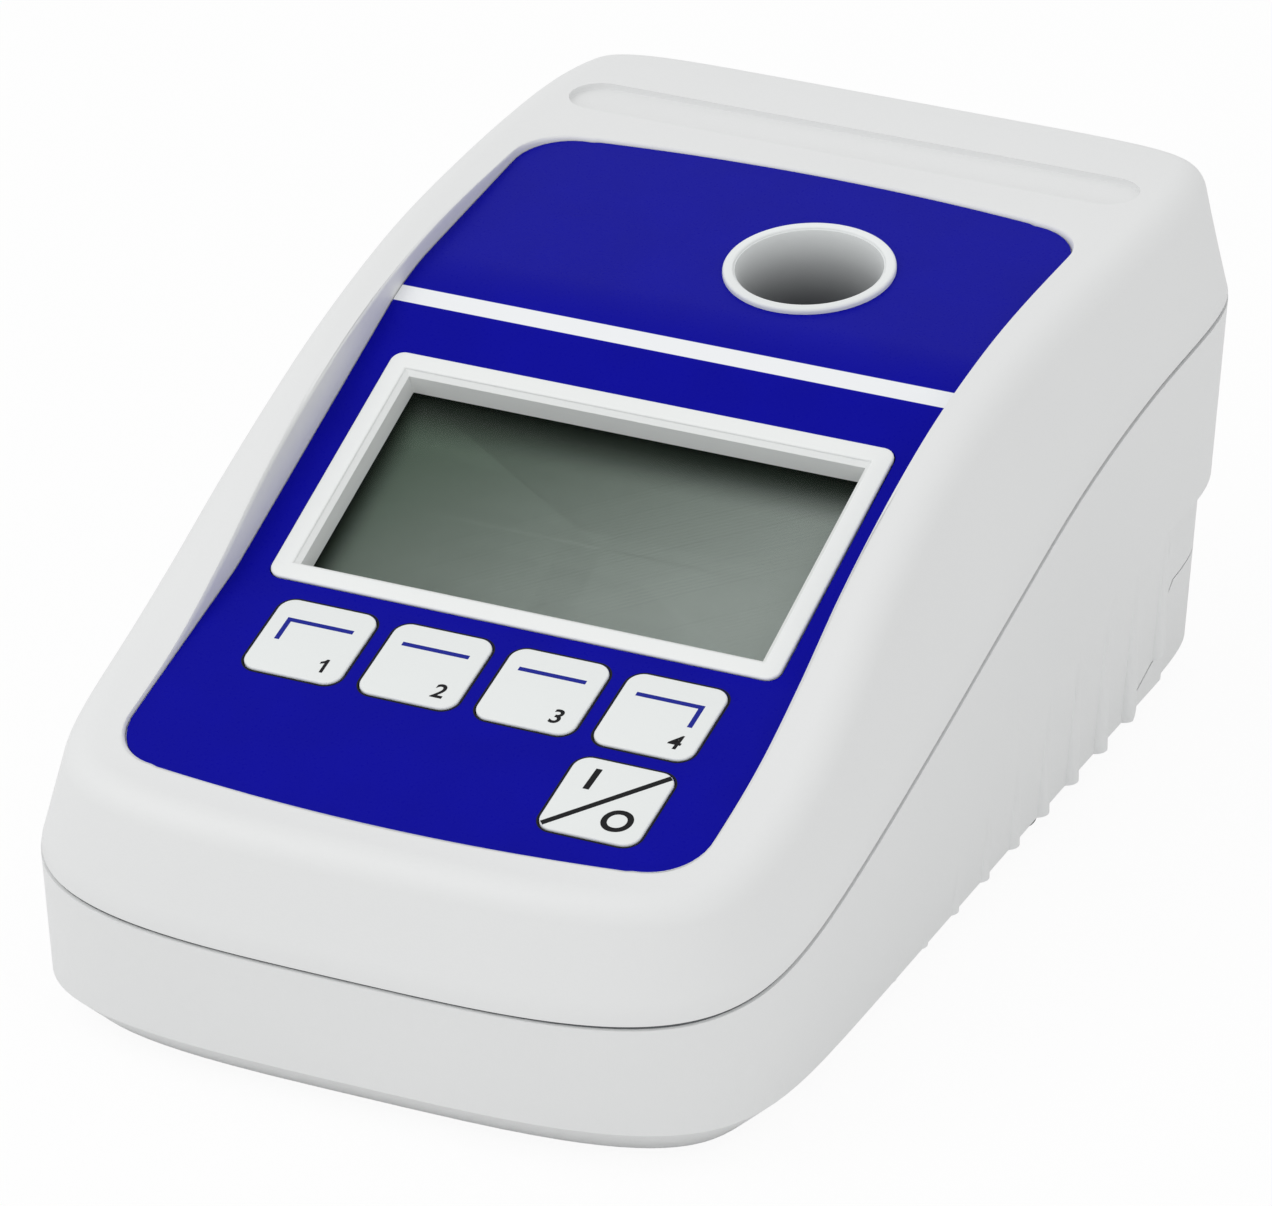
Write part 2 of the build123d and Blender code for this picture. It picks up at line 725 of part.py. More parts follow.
def lower_housing():
    inner_half = bay_inner_width / 2
    bay = Pos(0, bay_front, cell_bottom) * Box(bay_inner_width + 2 * bay_wall, bay_back + bay_wall - bay_front,
                                               bay_roof - cell_bottom, align=(Align.CENTER, Align.MIN, Align.MIN))
    hollow = Pos(0, bay_front + bay_wall, -5) * Box(bay_inner_width, bay_back - bay_front - bay_wall,
                                                    bay_ceiling + 5, align=(Align.CENTER, Align.MIN, Align.MIN))
    standing = Pos(0, bay_front, floor_top) * Box(bay_inner_width + 2 * bay_wall, door_side_start - bay_front - 1,
                                                  bay_roof - floor_top,
                                                  align=(Align.CENTER, Align.MIN, Align.MIN))
    rear_relief = Pos(0, bay_back - bay_wall, 0) * Box(2 * bay_inner_width, 3 * bay_wall, floor_top + bottom_chamfer + 1,
                                            align=(Align.CENTER, Align.MIN, Align.MIN))
    ribs = (Compound(grip_ribs()) - lower_block(wall / 2)) - door_zone(0)
    added = [bay + standing - hollow - rear_relief]
    cuts = []
    for side in (-1, 1):
        notch = Pos(side * (inner_half - door_hook_width / 2), bay_front - 1, floor_top)
        cuts.append(notch * Box(door_hook_width + 0.8, bay_wall + 2, 2 * door_hook_thickness,
                                align=(Align.CENTER, Align.MIN, Align.MIN)))
    for x, y in screw_places():
        added.append(Pos(x, y, base_height) * rod(boss_diameter + 1.2, seam_height(y) - base_height))
        seat = seam_height(y) - screw_seat_height
        cuts.append(Pos(x, y, -1) * rod(screw_head_diameter + 2 * screw_clearance, seat + 1))
        cuts.append(Pos(x, y, -1) * rod(screw_diameter + 2 * screw_clearance, sky))
    for x, y in ear_places:
        added.append(Pos(x, y, bay_roof - 0.5) * rod(boss_diameter, post_height + 0.5))
        cuts.append(Pos(x, y, bay_roof + 1.5) * rod(screw_diameter - 0.4, post_height))
    for x, y in foot_places():
        cuts.append(Pos(x, y, 0) * rod(foot_diameter + 0.2, base_height + foot_recess))
    return (((SHELL_SKIN - door_zone(0)) + ribs) + added) - cuts


def battery_door():
    door = SHELL_SKIN & door_zone(door_gap)
    for side in (-1, 1):
        x = side * (door_tongue_width / 2 - door_gap - door_hook_width / 2)
        riser = Pos(x, door_front + door_gap, floor_top - 0.5) * Box(
            door_hook_width, 2.5, door_hook_thickness + 0.7, align=(Align.CENTER, Align.MIN, Align.MIN))
        lip = Pos(x, door_front + door_gap - door_hook_length, floor_top + 0.2) * Box(
            door_hook_width, door_hook_length + 1, door_hook_thickness, align=(Align.CENTER, Align.MIN, Align.MIN))
        door = door + riser + lip
    for i in range(4):
        groove = Pos(0, half_length - 22 + 3.0 * i, base_height) * Box(26, 1.4, 1.0)
        door = door - groove
    return door


def battery_cells():
    cells = []
    for i in range(cell_count):
        x = (i - (cell_count - 1) / 2) * cell_pitch
        flipped = i % 2 == 1
        start = bay_front + bay_wall + contact_thickness + (cell_button_length if flipped else contact_reach)
        turn = Plane(origin=(x, start, cell_bottom + cell_diameter / 2), x_dir=(1, 0, 0), z_dir=(0, 1, 0))
        body = turn * rod(cell_diameter, cell_length)
        body = fillet(body.edges(), 0.6)
        at = -cell_button_length if flipped else cell_length
        body = body + turn * Pos(0, 0, at) * rod(cell_button_diameter, cell_button_length)
        cells.append(body)
    return Compound(cells)


# Contact plates and leaf springs at both ends of the battery bay
def contact_plate(x, y, leaf_direction):
    z = cell_bottom + cell_diameter / 2
    plate = Pos(x, y, z) * Box(10, contact_thickness, 11, align=(Align.CENTER, Align.MIN, Align.CENTER))
    if leaf_direction:
        base_y = y + (contact_thickness if leaf_direction > 0 else 0)
        t = contact_thickness
        d = leaf_direction
        high, middle, low = z + 4.5, z, z - 4.5
        outer = [(base_y, high), (base_y + d * contact_reach, middle), (base_y + d * t, low)]
        inner = [(base_y, high - 1.3 * t), (base_y + d * (contact_reach - t), middle), (base_y, low)]
        face = make_face(Polyline(*(outer + inner[::-1]), close=True))
        plate = plate + Pos(x, 0, 0) * extrude(Plane.YZ * face, amount=2.5, both=True)
    return plate


def battery_contacts():
    parts = []
    for i in range(cell_count):
        x = (i - (cell_count - 1) / 2) * cell_pitch
        flipped = i % 2 == 1
        parts.append(contact_plate(x, bay_front + bay_wall, 0 if flipped else 1))
        parts.append(contact_plate(x, bay_back - contact_thickness, -1 if flipped else 0))
    return Compound(parts)


def housing_screws():
    screws = []
    for x, y in screw_places():
        seat = seam_height(y) - screw_seat_height
        head = Pos(x, y, seat - screw_head_height) * rod(screw_head_diameter, screw_head_height)
        head = head - Pos(x, y, seat - screw_head_height - 1.0) * cross_drive()
        screws.append(head + Pos(x, y, seat) * rod(screw_diameter, screw_seat_height + insert_length))
    return Compound(screws)


def threaded_inserts():
    inserts = []
    for x, y in screw_places():
        ring = rod(insert_diameter, insert_length) - rod(screw_diameter, insert_length)
        inserts.append(Pos(x, y, seam_height(y)) * ring)
    return Compound(inserts)


def rubber_feet():
    feet = []
    for x, y in foot_places():
        foot = Pos(x, y, 0) * rod(foot_diameter, base_height + foot_recess)
        feet.append(fillet(foot.edges().group_by(Axis.Z)[0], 0.4))
    return Compound(feet)


nodes = {
    "upper_housing": upper_housing,
    "lower_housing": lower_housing,
    "housing_seal": housing_seal,
    "control_panel": control_panel,
    "display_frame": display_frame,
    "display_window": display_window,
    "lcd_glass": lcd_glass,
    "zebra_strips": zebra_strips,
    "lcd_board": lcd_board,
    "ribbon_cable": ribbon_cable,
    "key_domes": key_domes,
    "keypad_board": keypad_board,
    "board_chips": board_chips,
    "board_screws": board_screws,
    "well_collar": well_collar,
    "light_seal": light_seal,
    "optics_block": optics_block,
    "cell_spring": cell_spring,
    "lens": lens,
    "measuring_lamp": measuring_lamp,
    "lamp_board": lambda: small_board(-1),
    "light_filter": light_filter,
    "light_sensor": light_sensor,
    "sensor_board": lambda: small_board(1),
    "optics_screws": optics_screws,
    "housing_screws": housing_screws,
    "threaded_inserts": threaded_inserts,
    "rubber_feet": rubber_feet,
    "battery_cells": battery_cells,
    "battery_contacts": battery_contacts,
    "battery_door": battery_door,
}
for key_name in key_places:
    nodes[key_name] = lambda name=key_name: key(name)

os.makedirs("parts", exist_ok=True)
for node, make in nodes.items():
    export_step(make(), f"parts/{node}.step")
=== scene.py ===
import json
from math import cos, pi, radians, sin, tan

import bmesh
import bpy
from mathutils import Matrix, Vector


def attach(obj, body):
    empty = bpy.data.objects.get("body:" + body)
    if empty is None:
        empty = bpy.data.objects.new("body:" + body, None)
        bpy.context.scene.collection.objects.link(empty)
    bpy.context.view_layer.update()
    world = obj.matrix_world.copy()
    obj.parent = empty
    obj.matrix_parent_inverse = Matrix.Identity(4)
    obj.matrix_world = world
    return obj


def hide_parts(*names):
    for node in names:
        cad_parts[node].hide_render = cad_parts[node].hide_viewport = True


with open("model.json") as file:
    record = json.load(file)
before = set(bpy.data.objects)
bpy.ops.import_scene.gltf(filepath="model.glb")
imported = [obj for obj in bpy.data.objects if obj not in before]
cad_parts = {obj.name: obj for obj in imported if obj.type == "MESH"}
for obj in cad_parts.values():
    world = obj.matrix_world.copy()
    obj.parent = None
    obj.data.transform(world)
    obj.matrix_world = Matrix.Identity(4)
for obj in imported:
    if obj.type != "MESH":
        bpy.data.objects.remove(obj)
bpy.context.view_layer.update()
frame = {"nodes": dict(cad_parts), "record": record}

bl_info = {
    "name": "Bench photometer",
    "version": (1, 0, 0),
    "blender": (4, 5, 0),
    "location": "3D View > Sidebar > Photometer",
    "description": "Builds the looks of a compact bench photometer round its fixed frame",
    "category": "Object",
}

MM = 0.001

# Heights along the body, in millimetres, front to rear
SEAM_PROFILE = [(-78, 17.4), (-60, 20.6), (-40, 25.5), (-20, 31.3), (0, 37.6), (20, 43.4), (40, 46.7),
                (60, 47.7), (80, 47.8)]
RIM_PROFILE = [(-78, 31.2), (-66, 31.9), (-55, 34.4), (-45, 37.7), (-35, 42.6), (-25, 48.3), (-15, 53.0),
               (-5, 56.8), (5, 59.5), (20, 61.9), (40, 63.0), (60, 63.38), (80, 63.28)]
# Exponents of the outline's superellipse, across and along
FRONT_SQUARENESS = (3.4, 10.0)
REAR_SQUARENESS = (7.0, 12.0)
WALL_STATIONS = 540
# Upper shell's section: its rounded foot and rim, the edge and ledge of its recess, and its skin
FOOT_ROUND = 0.25
FOOT_NICK = 0.07
RIM_STEPS = 9
CREST_INSET = 6.0
RECESS_EDGE = 0.5
LEDGE = 3.0
PANEL_SKIN = 2.2
RIM_SKIN = 3.0
LEAST_WALL = 0.6
# Long recess behind the panel
RECESS_SIZE = (72.6, 7.8)
RECESS_DEPTH = 0.8
RECESS_Y = 57.4
# Radii that blend the panel's two breaks
LOWER_BLEND = 30.0
UPPER_BLEND = 40.0
# From an end of the panel to the centre of its corner's arc, in radii: over one, as the end is bowed
CORNER_SETBACK = 1.03
# White band across the panel with its soft edge, and the rear and left edges of the display's window, along
# which shade is painted on the display
BAND_FRONT = 7.3
BAND_REAR = 9.75
INK_EDGE = 0.04
WINDOW_REAR = -2.4
WINDOW_LEFT = -28.4
# Gaps round what stands in the film, and under it
FILM_GAP = 0.15
KEY_GAP = 0.2
FILM_LIFT = 0.02
# Stations round the film and its hole for the well, and the cuts that let it follow each blend
FILM_STATIONS = 360
WELL_SEGMENTS = 64
BLEND_CUTS = 16
BLEND_MARGIN = 1.02
# Display frame, whose front edge lies a little before the lower break, and the well with its collar's neck
FRAME_SIZE = (62.5, 35.5)
FRAME_CORNER = 1.6
FRAME_LEAD = 0.2
WELL_PLACE = (8.0, 27.75)
COLLAR_NECK = 9.45
# Keys, the painted shade of the gap round each, and the marks on their faces
KEY_COUNT = 4
KEY_CORNER = 1.9
KEY_SEGMENTS = 10
KEY_DEPTH = 2.5
KEY_PROUD = 0.25
KEY_EDGE = 0.22
KEY_SHOULDER = 0.3
GAP_SHADE_NEAR = 0.12
GAP_SHADE_FAR = 0.34
GAP_SHADE_RISE = 0.015
INK_RISE = 0.012
LETTER_RISE = 0.008
BAR_Y = 2.6
BAR_HALF = 4.1
BAR_WIDTH = 0.6
LEG_LENGTH = 3.4
DIGIT_SIZE = 3.1
DIGIT_PLACE = (3.3, -3.4)
ONE_OUTLINE = [(-0.06, -1.1), (0.34, -1.1), (0.34, 1.1), (0.02, 1.1), (-0.16, 0.8), (-0.56, 0.56),
               (-0.56, 0.22), (-0.06, 0.44)]
SLASH_NEAR = 5.1
SLASH_FAR = 5.6
# Feet: places, and half of the section from the hollow under the foot to its top
FOOT_PLACES = ((33.5, -44.0), (-33.5, -44.0), (36.0, 20.0), (-36.0, 20.0))
FOOT_PROFILE = [(0.0, 0.15), (3.2, 0.15), (3.5, 0.0), (4.1, 0.0), (4.4, 0.12), (4.5, 0.4), (4.5, 2.0),
                (0.0, 2.0)]
# Range that holds most values of a noise, and where a dry cell's sleeve changes colour
NOISE_RANGE = (0.3, 0.7)
SLEEVE_BAND = 28.0
# Stage, in metres and degrees; a lamp has a place and a side
FLOOR_HALF = 3.0
FLOOR_GLOW = 0.93
SOFT_LAMP = ((-0.45, -0.35, 0.75), 0.7)
FILL_LAMP = ((0.7, -0.5, 0.35), 0.6)
LAMP_TARGET = (0.0, 0.0, 0.03)
CAMERA_AZIMUTH = 25.195
CAMERA_ELEVATION = 26.494
CAMERA_PLACE = (0.38542, -0.82113, 0.48105)
CAMERA_LENS = 252.0


def srgb(hex_colour, alpha=1.0):
    """Turns an sRGB hex colour into the linear values that shaders use."""
    channels = [int(hex_colour[i:i + 2], 16) / 255 for i in (0, 2, 4)]
    linear = [c / 12.92 if c <= 0.04045 else ((c + 0.055) / 1.055) ** 2.4 for c in channels]
    return (*linear, alpha)


def size_property(name, description, millimetres):
    return bpy.props.FloatProperty(name=name, description=description + ", mm", default=millimetres)


def colour_property(name, description, hex_colour):
    return bpy.props.FloatVectorProperty(name=name, description=description, subtype="COLOR", size=4, min=0.0,
                                         max=1.0, default=srgb(hex_colour))


class BodySizes(bpy.types.PropertyGroup):
    width: size_property("Width", "Width at the seam", 91.6)
    length: size_property("Length", "Length at the seam", 152.4)
    wall: size_property("Wall", "Thickness of the moulded shells", 2.4)
    upper_lean: bpy.props.FloatProperty(name="Upper lean", description="Lean of the upper walls, mm per mm",
                                        default=0.27)
    rear_lean: bpy.props.FloatProperty(name="Rear lean", description="Lean of the upper rear wall, mm per mm",
                                       default=0.12)
    seam_gap: size_property("Seam gap", "Gap between the two shells", 0.4)
    rim_radius: size_property("Rim radius", "Rounding of the upper shell's rim", 4.0)


class PanelSizes(bpy.types.PropertyGroup):
    width: size_property("Width", "Width of the control panel", 70.4)
    front: size_property("Front", "Front end of the panel along the body", -66.0)
    rear: size_property("Rear", "Rear end of the panel along the body", 48.0)
    bow: size_property("Bow", "Bow of the panel's ends", 2.6)
    corner: size_property("Corner", "Corner radius of the panel", 7.0)
    front_height: size_property("Front height", "Height of the panel's front edge", 31.04)
    key_slope: bpy.props.FloatProperty(name="Key slope", description="Slope of the flat with the keys",
                                       subtype="ANGLE", default=radians(15.56))
    display_slope: bpy.props.FloatProperty(name="Display slope", description="Slope under the display",
                                           subtype="ANGLE", default=radians(22.87))
    well_slope: bpy.props.FloatProperty(name="Well slope", description="Slope round the cell well",
                                        subtype="ANGLE", default=radians(6.4))
    lower_break: size_property("Lower break", "Where keys and display flats meet", -32.2)
    upper_break: size_property("Upper break", "Where display and well flats meet", 11.2)
    film: size_property("Film", "Thickness of the printed film", 0.4)
    key_size: size_property("Key", "Side of a key", 12.0)
    key_pitch: size_property("Key pitch", "Pitch of the keys", 14.26)
    key_row: size_property("Key row", "Place of the key row along the body", -41.0)


class Finishes(bpy.types.PropertyGroup):
    shell: colour_property("Shell", "Colour of the moulded shells", "e4e5e5")
    film: colour_property("Film", "Ink of the printed film", "0a0a9e")
    key: colour_property("Keys", "Colour of the key faces", "e7eae9")
    display: colour_property("Display", "Colour of the display", "b7c1bb")
    mark: colour_property("Key marks", "Ink of the key marks", "101c84")


class StageSizes(bpy.types.PropertyGroup):
    key_light: bpy.props.FloatProperty(name="Key light", description="Power of the large soft lamp",
                                       unit="POWER", default=1.9)
    fill_light: bpy.props.FloatProperty(name="Fill light", description="Power of the fill lamp", unit="POWER",
                                        default=0.55)
    world_level: bpy.props.FloatProperty(name="World", description="Level of the even surrounding light",
                                         default=0.80)


PROPERTY_GROUPS = {
    "photometer_body": BodySizes,
    "photometer_panel": PanelSizes,
    "photometer_finishes": Finishes,
    "photometer_stage": StageSizes,
}


def body():
    return bpy.context.scene.photometer_body


def panel():
    return bpy.context.scene.photometer_panel


def finishes():
    return bpy.context.scene.photometer_finishes


# Materials


def add_node(tree, kind, settings=None, values=None, links=None):
    """Adds one shader node, sets its properties and sockets, and links its inputs."""
    node = tree.nodes.new(kind)
    for name, value in (settings or {}).items():
        setattr(node, name, value)
    for name, value in (values or {}).items():
        node.inputs[name].default_value = value
    for name, socket in (links or {}).items():
        tree.links.new(socket, node.inputs[name])
    return node


def new_material(name):
    """An empty material with its principled shader and output, and the object coordinates in millimetres."""
    material = bpy.data.materials.new(name)
    material.use_nodes = True
    tree = material.node_tree
    tree.nodes.clear()
    shader = add_node(tree, "ShaderNodeBsdfPrincipled")
    add_node(tree, "ShaderNodeOutputMaterial", links={"Surface": shader.outputs["BSDF"]})
    place = add_node(tree, "ShaderNodeTexCoord")
    scaled = add_node(tree, "ShaderNodeVectorMath", {"operation": "SCALE"}, {"Scale": 1 / MM},
                      {"Vector": place.outputs["Object"]})
    return material, tree, shader, scaled.outputs["Vector"]


def coordinates(tree, place):
    return add_node(tree, "ShaderNodeSeparateXYZ", links={"Vector": place}).outputs


def noise(tree, place, size_mm, detail=2.0, roughness=0.5):
    """A noise whose features are about a size in millimetres."""
    values = {"Scale": 1 / size_mm, "Detail": detail, "Roughness": roughness}
    return add_node(tree, "ShaderNodeTexNoise", values=values, links={"Vector": place}).outputs["Fac"]


def math_node(tree, operation, first, second=0.0):
    node = add_node(tree, "ShaderNodeMath", {"operation": operation})
    for index, value in enumerate((first, second)):
        if isinstance(value, (int, float)):
            node.inputs[index].default_value = value
        else:
            tree.links.new(value, node.inputs[index])
    return node.outputs[0]


def ramp(tree, value, low, high, to_low=0.0, to_high=1.0):
    """A smooth step from one level to another, as a value goes from low to high."""
    span = {"From Min": low, "From Max": high, "To Min": to_low, "To Max": to_high}
    node = add_node(tree, "ShaderNodeMapRange", {"interpolation_type": "SMOOTHSTEP"}, span, {"Value": value})
    return node.outputs["Result"]


def shaded(colour, level):
    """The same linear colour at another level."""
    return (*(level * c for c in colour[:3]), 1.0)


def mixed(tree, factor, first, second):
    """Mixes two colours, each a socket or a linear value, by a factor socket."""
    node = add_node(tree, "ShaderNodeMix", {"data_type": "RGBA"}, links={0: factor})
    for index, value in ((6, first), (7, second)):
        if isinstance(value, tuple):
            node.inputs[index].default_value = value
        else:
            tree.links.new(value, node.inputs[index])
    return node.outputs[2]


def vary_roughness(tree, shader, pattern, roughness, spread):
    """Lets the roughness follow a noise, by a spread on either side."""
    level = ramp(tree, pattern, *NOISE_RANGE, roughness - spread, roughness + spread)
    tree.links.new(level, shader.inputs["Roughness"])


def add_bump(tree, shader, height, distance_mm):
    bump = add_node(tree, "ShaderNodeBump", values={"Strength": 1.0, "Distance": distance_mm * MM},
                    links={"Height": height})
    tree.links.new(bump.outputs["Normal"], shader.inputs["Normal"])


# Moulded ABS: the mould's spark-eroded skin gives an even, fine, dull grain about 0.3 mm across
def moulded_abs(name, colour, grain_mm=0.3, depth_mm=0.012, roughness=0.48, depth_shade=None):
    material, tree, shader, place = new_material(name)
    tint = mixed(tree, noise(tree, place, 38.0), shaded(colour, 0.965), colour)
    if depth_shade:
        # Painted shade: the wall's colour turns to a darker one lower down, between two heights
        shade_colour, low, high = depth_shade
        tint = mixed(tree, ramp(tree, coordinates(tree, place)["Z"], low, high), shade_colour, tint)
    tree.links.new(tint, shader.inputs["Base Color"])
    grain = noise(tree, place, grain_mm, 3.0, 0.6)
    vary_roughness(tree, shader, grain, roughness, 0.05)
    shader.inputs["IOR"].default_value = 1.5
    add_bump(tree, shader, grain, depth_mm)
    return material


# Screen-printed polyester film: deep even ink under a satin skin with a faint weave of the printing screen
def printed_polyester(name):
    material, tree, shader, place = new_material(name)
    y = coordinates(tree, place)["Y"]
    front_edge = ramp(tree, y, BAND_FRONT - INK_EDGE, BAND_FRONT + INK_EDGE)
    rear_edge = ramp(tree, y, BAND_REAR - INK_EDGE, BAND_REAR + INK_EDGE, 1.0, 0.0)
    band = math_node(tree, "MULTIPLY", front_edge, rear_edge)
    ink = tuple(finishes().film)
    blue = mixed(tree, noise(tree, place, 9.0, 3.0), shaded(ink, 0.82), ink)
    tree.links.new(mixed(tree, band, blue, srgb("eef0f2")), shader.inputs["Base Color"])
    weave = noise(tree, place, 0.35)
    vary_roughness(tree, shader, weave, 0.30, 0.03)
    shader.inputs["Specular IOR Level"].default_value = 0.03
    add_bump(tree, shader, weave, 0.003)
    return material


# Polyester key face: white ink behind a matt embossed skin
def key_polyester(name):
    return moulded_abs(name, tuple(finishes().key), grain_mm=0.2, depth_mm=0.004, roughness=0.38)


# Printed ink: flat, slightly rough, with the density varying a little over a stroke
def printed_ink(name, colour):
    material, tree, shader, place = new_material(name)
    lighter = (*(min(1.0, 1.25 * c + 0.004) for c in colour[:3]), 1.0)
    tint = mixed(tree, noise(tree, place, 0.15), colour, lighter)
    tree.links.new(tint, shader.inputs["Base Color"])
    shader.inputs["Roughness"].default_value = 0.5
    shader.inputs["Specular IOR Level"].default_value = 0.12
    return material


# Liquid crystal cell: a dull grey-green polariser with a fine grid of electrodes just showing
def liquid_crystal(name):
    material, tree, shader, place = new_material(name)
    places = coordinates(tree, place)
    x, y = places["X"], places["Y"]
    # Painted shade and reflection: the glass is darker towards its rear left corner and paler towards its
    # front right one
    across = math_node(tree, "SUBTRACT", x, math_node(tree, "MULTIPLY", y, 1.1))
    tint = mixed(tree, ramp(tree, across, -26.0, 60.0), srgb("506454"), tuple(finishes().display))
    # Painted shade of the frame: the glass is darker along its rear and left edges
    rear_edge = ramp(tree, y, WINDOW_REAR - 4.5, WINDOW_REAR + 1.0)
    left_edge = ramp(tree, x, WINDOW_LEFT + 3.5, WINDOW_LEFT - 1.0)
    tint = mixed(tree, math_node(tree, "MAXIMUM", rear_edge, left_edge), tint, srgb("222b25"))
    faint = math_node(tree, "MULTIPLY", noise(tree, place, 14.0), 0.12)
    tree.links.new(mixed(tree, faint, tint, srgb("5c6a58")), shader.inputs["Base Color"])
    shader.inputs["Roughness"].default_value = 0.34
    shader.inputs["Specular IOR Level"].default_value = 0.2
    # Electrodes run aslant, 0.9 mm apart along the body
    slant = math_node(tree, "ADD", math_node(tree, "MULTIPLY", x, 0.55), y)
    rows = math_node(tree, "SINE", math_node(tree, "MULTIPLY", slant, 2 * pi / 0.9))
    add_bump(tree, shader, rows, 0.0006)
    return material


# Clear cast acrylic: almost nothing but the gloss of its face
def clear_acrylic(name):
    material, tree, shader, place = new_material(name)
    shader.inputs["Base Color"].default_value = srgb("1d221f")
    shader.inputs["Alpha"].default_value = 0.10
    shader.inputs["IOR"].default_value = 1.49
    vary_roughness(tree, shader, noise(tree, place, 6.0), 0.045, 0.015)
    return material


# Optical glass: clear, with a faint coating tint
def optical_glass(name, colour, alpha):
    material, tree, shader, place = new_material(name)
    tint = mixed(tree, noise(tree, place, 4.0), colour, shaded(colour, 0.9))
    tree.links.new(tint, shader.inputs["Base Color"])
    shader.inputs["Roughness"].default_value = 0.04
    shader.inputs["Alpha"].default_value = alpha
    return material


# Moulded rubber or foam: dull black with a coarse soft grain
def moulded_rubber(name, colour, grain_mm=0.5, depth_mm=0.03):
    material, tree, shader, place = new_material(name)
    grain = noise(tree, place, grain_mm, 4.0)
    dusty = (*(1.35 * c + 0.004 for c in colour[:3]), 1.0)
    tree.links.new(mixed(tree, grain, colour, dusty), shader.inputs["Base Color"])
    vary_roughness(tree, shader, grain, 0.75, 0.10)
    add_bump(tree, shader, grain, depth_mm)
    return material


# Bright metal parts: turned or pressed, with fine tool lines across them
def drawn_metal(name, colour, roughness, line_mm=0.12):
    material, tree, shader, place = new_material(name)
    drawn = add_node(tree, "ShaderNodeMapping", None, {"Scale": (1.0, 1.0, 0.05)}, {"Vector": place})
    lines = noise(tree, drawn.outputs["Vector"], line_mm)
    tree.links.new(mixed(tree, lines, colour, shaded(colour, 0.85)), shader.inputs["Base Color"])
    vary_roughness(tree, shader, lines, roughness, 0.07)
    shader.inputs["Metallic"].default_value = 1.0
    add_bump(tree, shader, lines, 0.004)
    return material


# Glass-epoxy board: green solder mask over the weave of the cloth, with paler copper runs
def circuit_board(name):
    material, tree, shader, place = new_material(name)
    cells = add_node(tree, "ShaderNodeTexVoronoi", {"distance": "CHEBYCHEV"}, {"Scale": 1 / 2.6},
                     {"Vector": place})
    runs = ramp(tree, cells.outputs["Distance"], 0.36, 0.40)
    mask = mixed(tree, noise(tree, place, 0.4), srgb("0e4a28"), srgb("13572f"))
    tree.links.new(mixed(tree, runs, mask, srgb("2b7a45")), shader.inputs["Base Color"])
    shader.inputs["Roughness"].default_value = 0.35
    add_bump(tree, shader, runs, 0.03)
    return material


# Shrink sleeve of a dry cell: glossy, with a plain band of another colour near one end
def cell_sleeve(name):
    material, tree, shader, place = new_material(name)
    band = ramp(tree, coordinates(tree, place)["Y"], SLEEVE_BAND - 0.1, SLEEVE_BAND + 0.1)
    tree.links.new(mixed(tree, band, srgb("b98b3a"), srgb("1c1d20")), shader.inputs["Base Color"])
    vary_roughness(tree, shader, noise(tree, place, 5.0, 5.0), 0.28, 0.06)
    return material


def make_finishes():
    """Makes each finish once, under the name that the record's material slots use."""
    return {
        "housing_abs": moulded_abs("moulded_abs_housing", tuple(finishes().shell)),
        "frame_abs": moulded_abs("moulded_abs_frame", srgb("eceeed"), 0.25, 0.006, 0.40),
        # Painted shade: the thin white collar turns greyer lower down its bore
        "collar_abs": moulded_abs("moulded_abs_collar", srgb("ecefef"), 0.25, 0.006, 0.36,
                                  (srgb("6d6f73"), 50.5, 62.5)),
        "key_film": key_polyester("embossed_polyester_key"),
        "panel_film": printed_polyester("screen_printed_polyester"),
        "clear_acrylic": clear_acrylic("cast_acrylic"),
        "clear_glass": optical_glass("polished_glass", srgb("dfe8ea"), 0.35),
        "filter_glass": optical_glass("coated_filter_glass", srgb("b4552a"), 0.8),
        "lcd_glass": liquid_crystal("liquid_crystal_cell"),
        "lamp_epoxy": optical_glass("clear_epoxy", srgb("d9d6c4"), 0.7),
        "circuit_board": circuit_board("glass_epoxy_board"),
        "flex_film": optical_glass("polyimide_ribbon", srgb("a8661c"), 1.0),
        "black_epoxy": moulded_abs("moulded_epoxy_chip", srgb("17181a"), 0.15, 0.01, 0.55),
        "black_acetal": moulded_abs("machined_acetal", srgb("121314"), 0.4, 0.012, 0.55),
        "seam_rubber": moulded_rubber("silicone_rubber", srgb("55585a")),
        "foot_rubber": moulded_rubber("moulded_rubber_foot", srgb("2c2d2e")),
        "black_foam": moulded_rubber("closed_cell_foam", srgb("1a1b1c"), 0.8, 0.1),
        "sensor_can": drawn_metal("nickel_plated_can", srgb("c3c2bd"), 0.25),
        "zinc_steel": drawn_metal("zinc_plated_steel", srgb("b9bcc0"), 0.32),
        "spring_steel": drawn_metal("nickel_plated_spring_steel", srgb("c7c8c9"), 0.28),
        "brass": drawn_metal("turned_brass", srgb("c9a55a"), 0.3),
        "cell_jacket": cell_sleeve("shrink_sleeve"),
    }


FINISH = {}


def finish(slot):
    if not FINISH:
        FINISH.update(make_finishes())
    return FINISH[slot]


# Geometry helpers


def mesh_from(name, bm):
    """Turns a bmesh into a mesh, and frees it."""
    mesh = bpy.data.meshes.new(name)
    bm.to_mesh(mesh)
    bm.free()
    return mesh


def add_object(name, data):
    made = bpy.data.objects.new(name, data)
    bpy.context.scene.collection.objects.link(made)
    return made


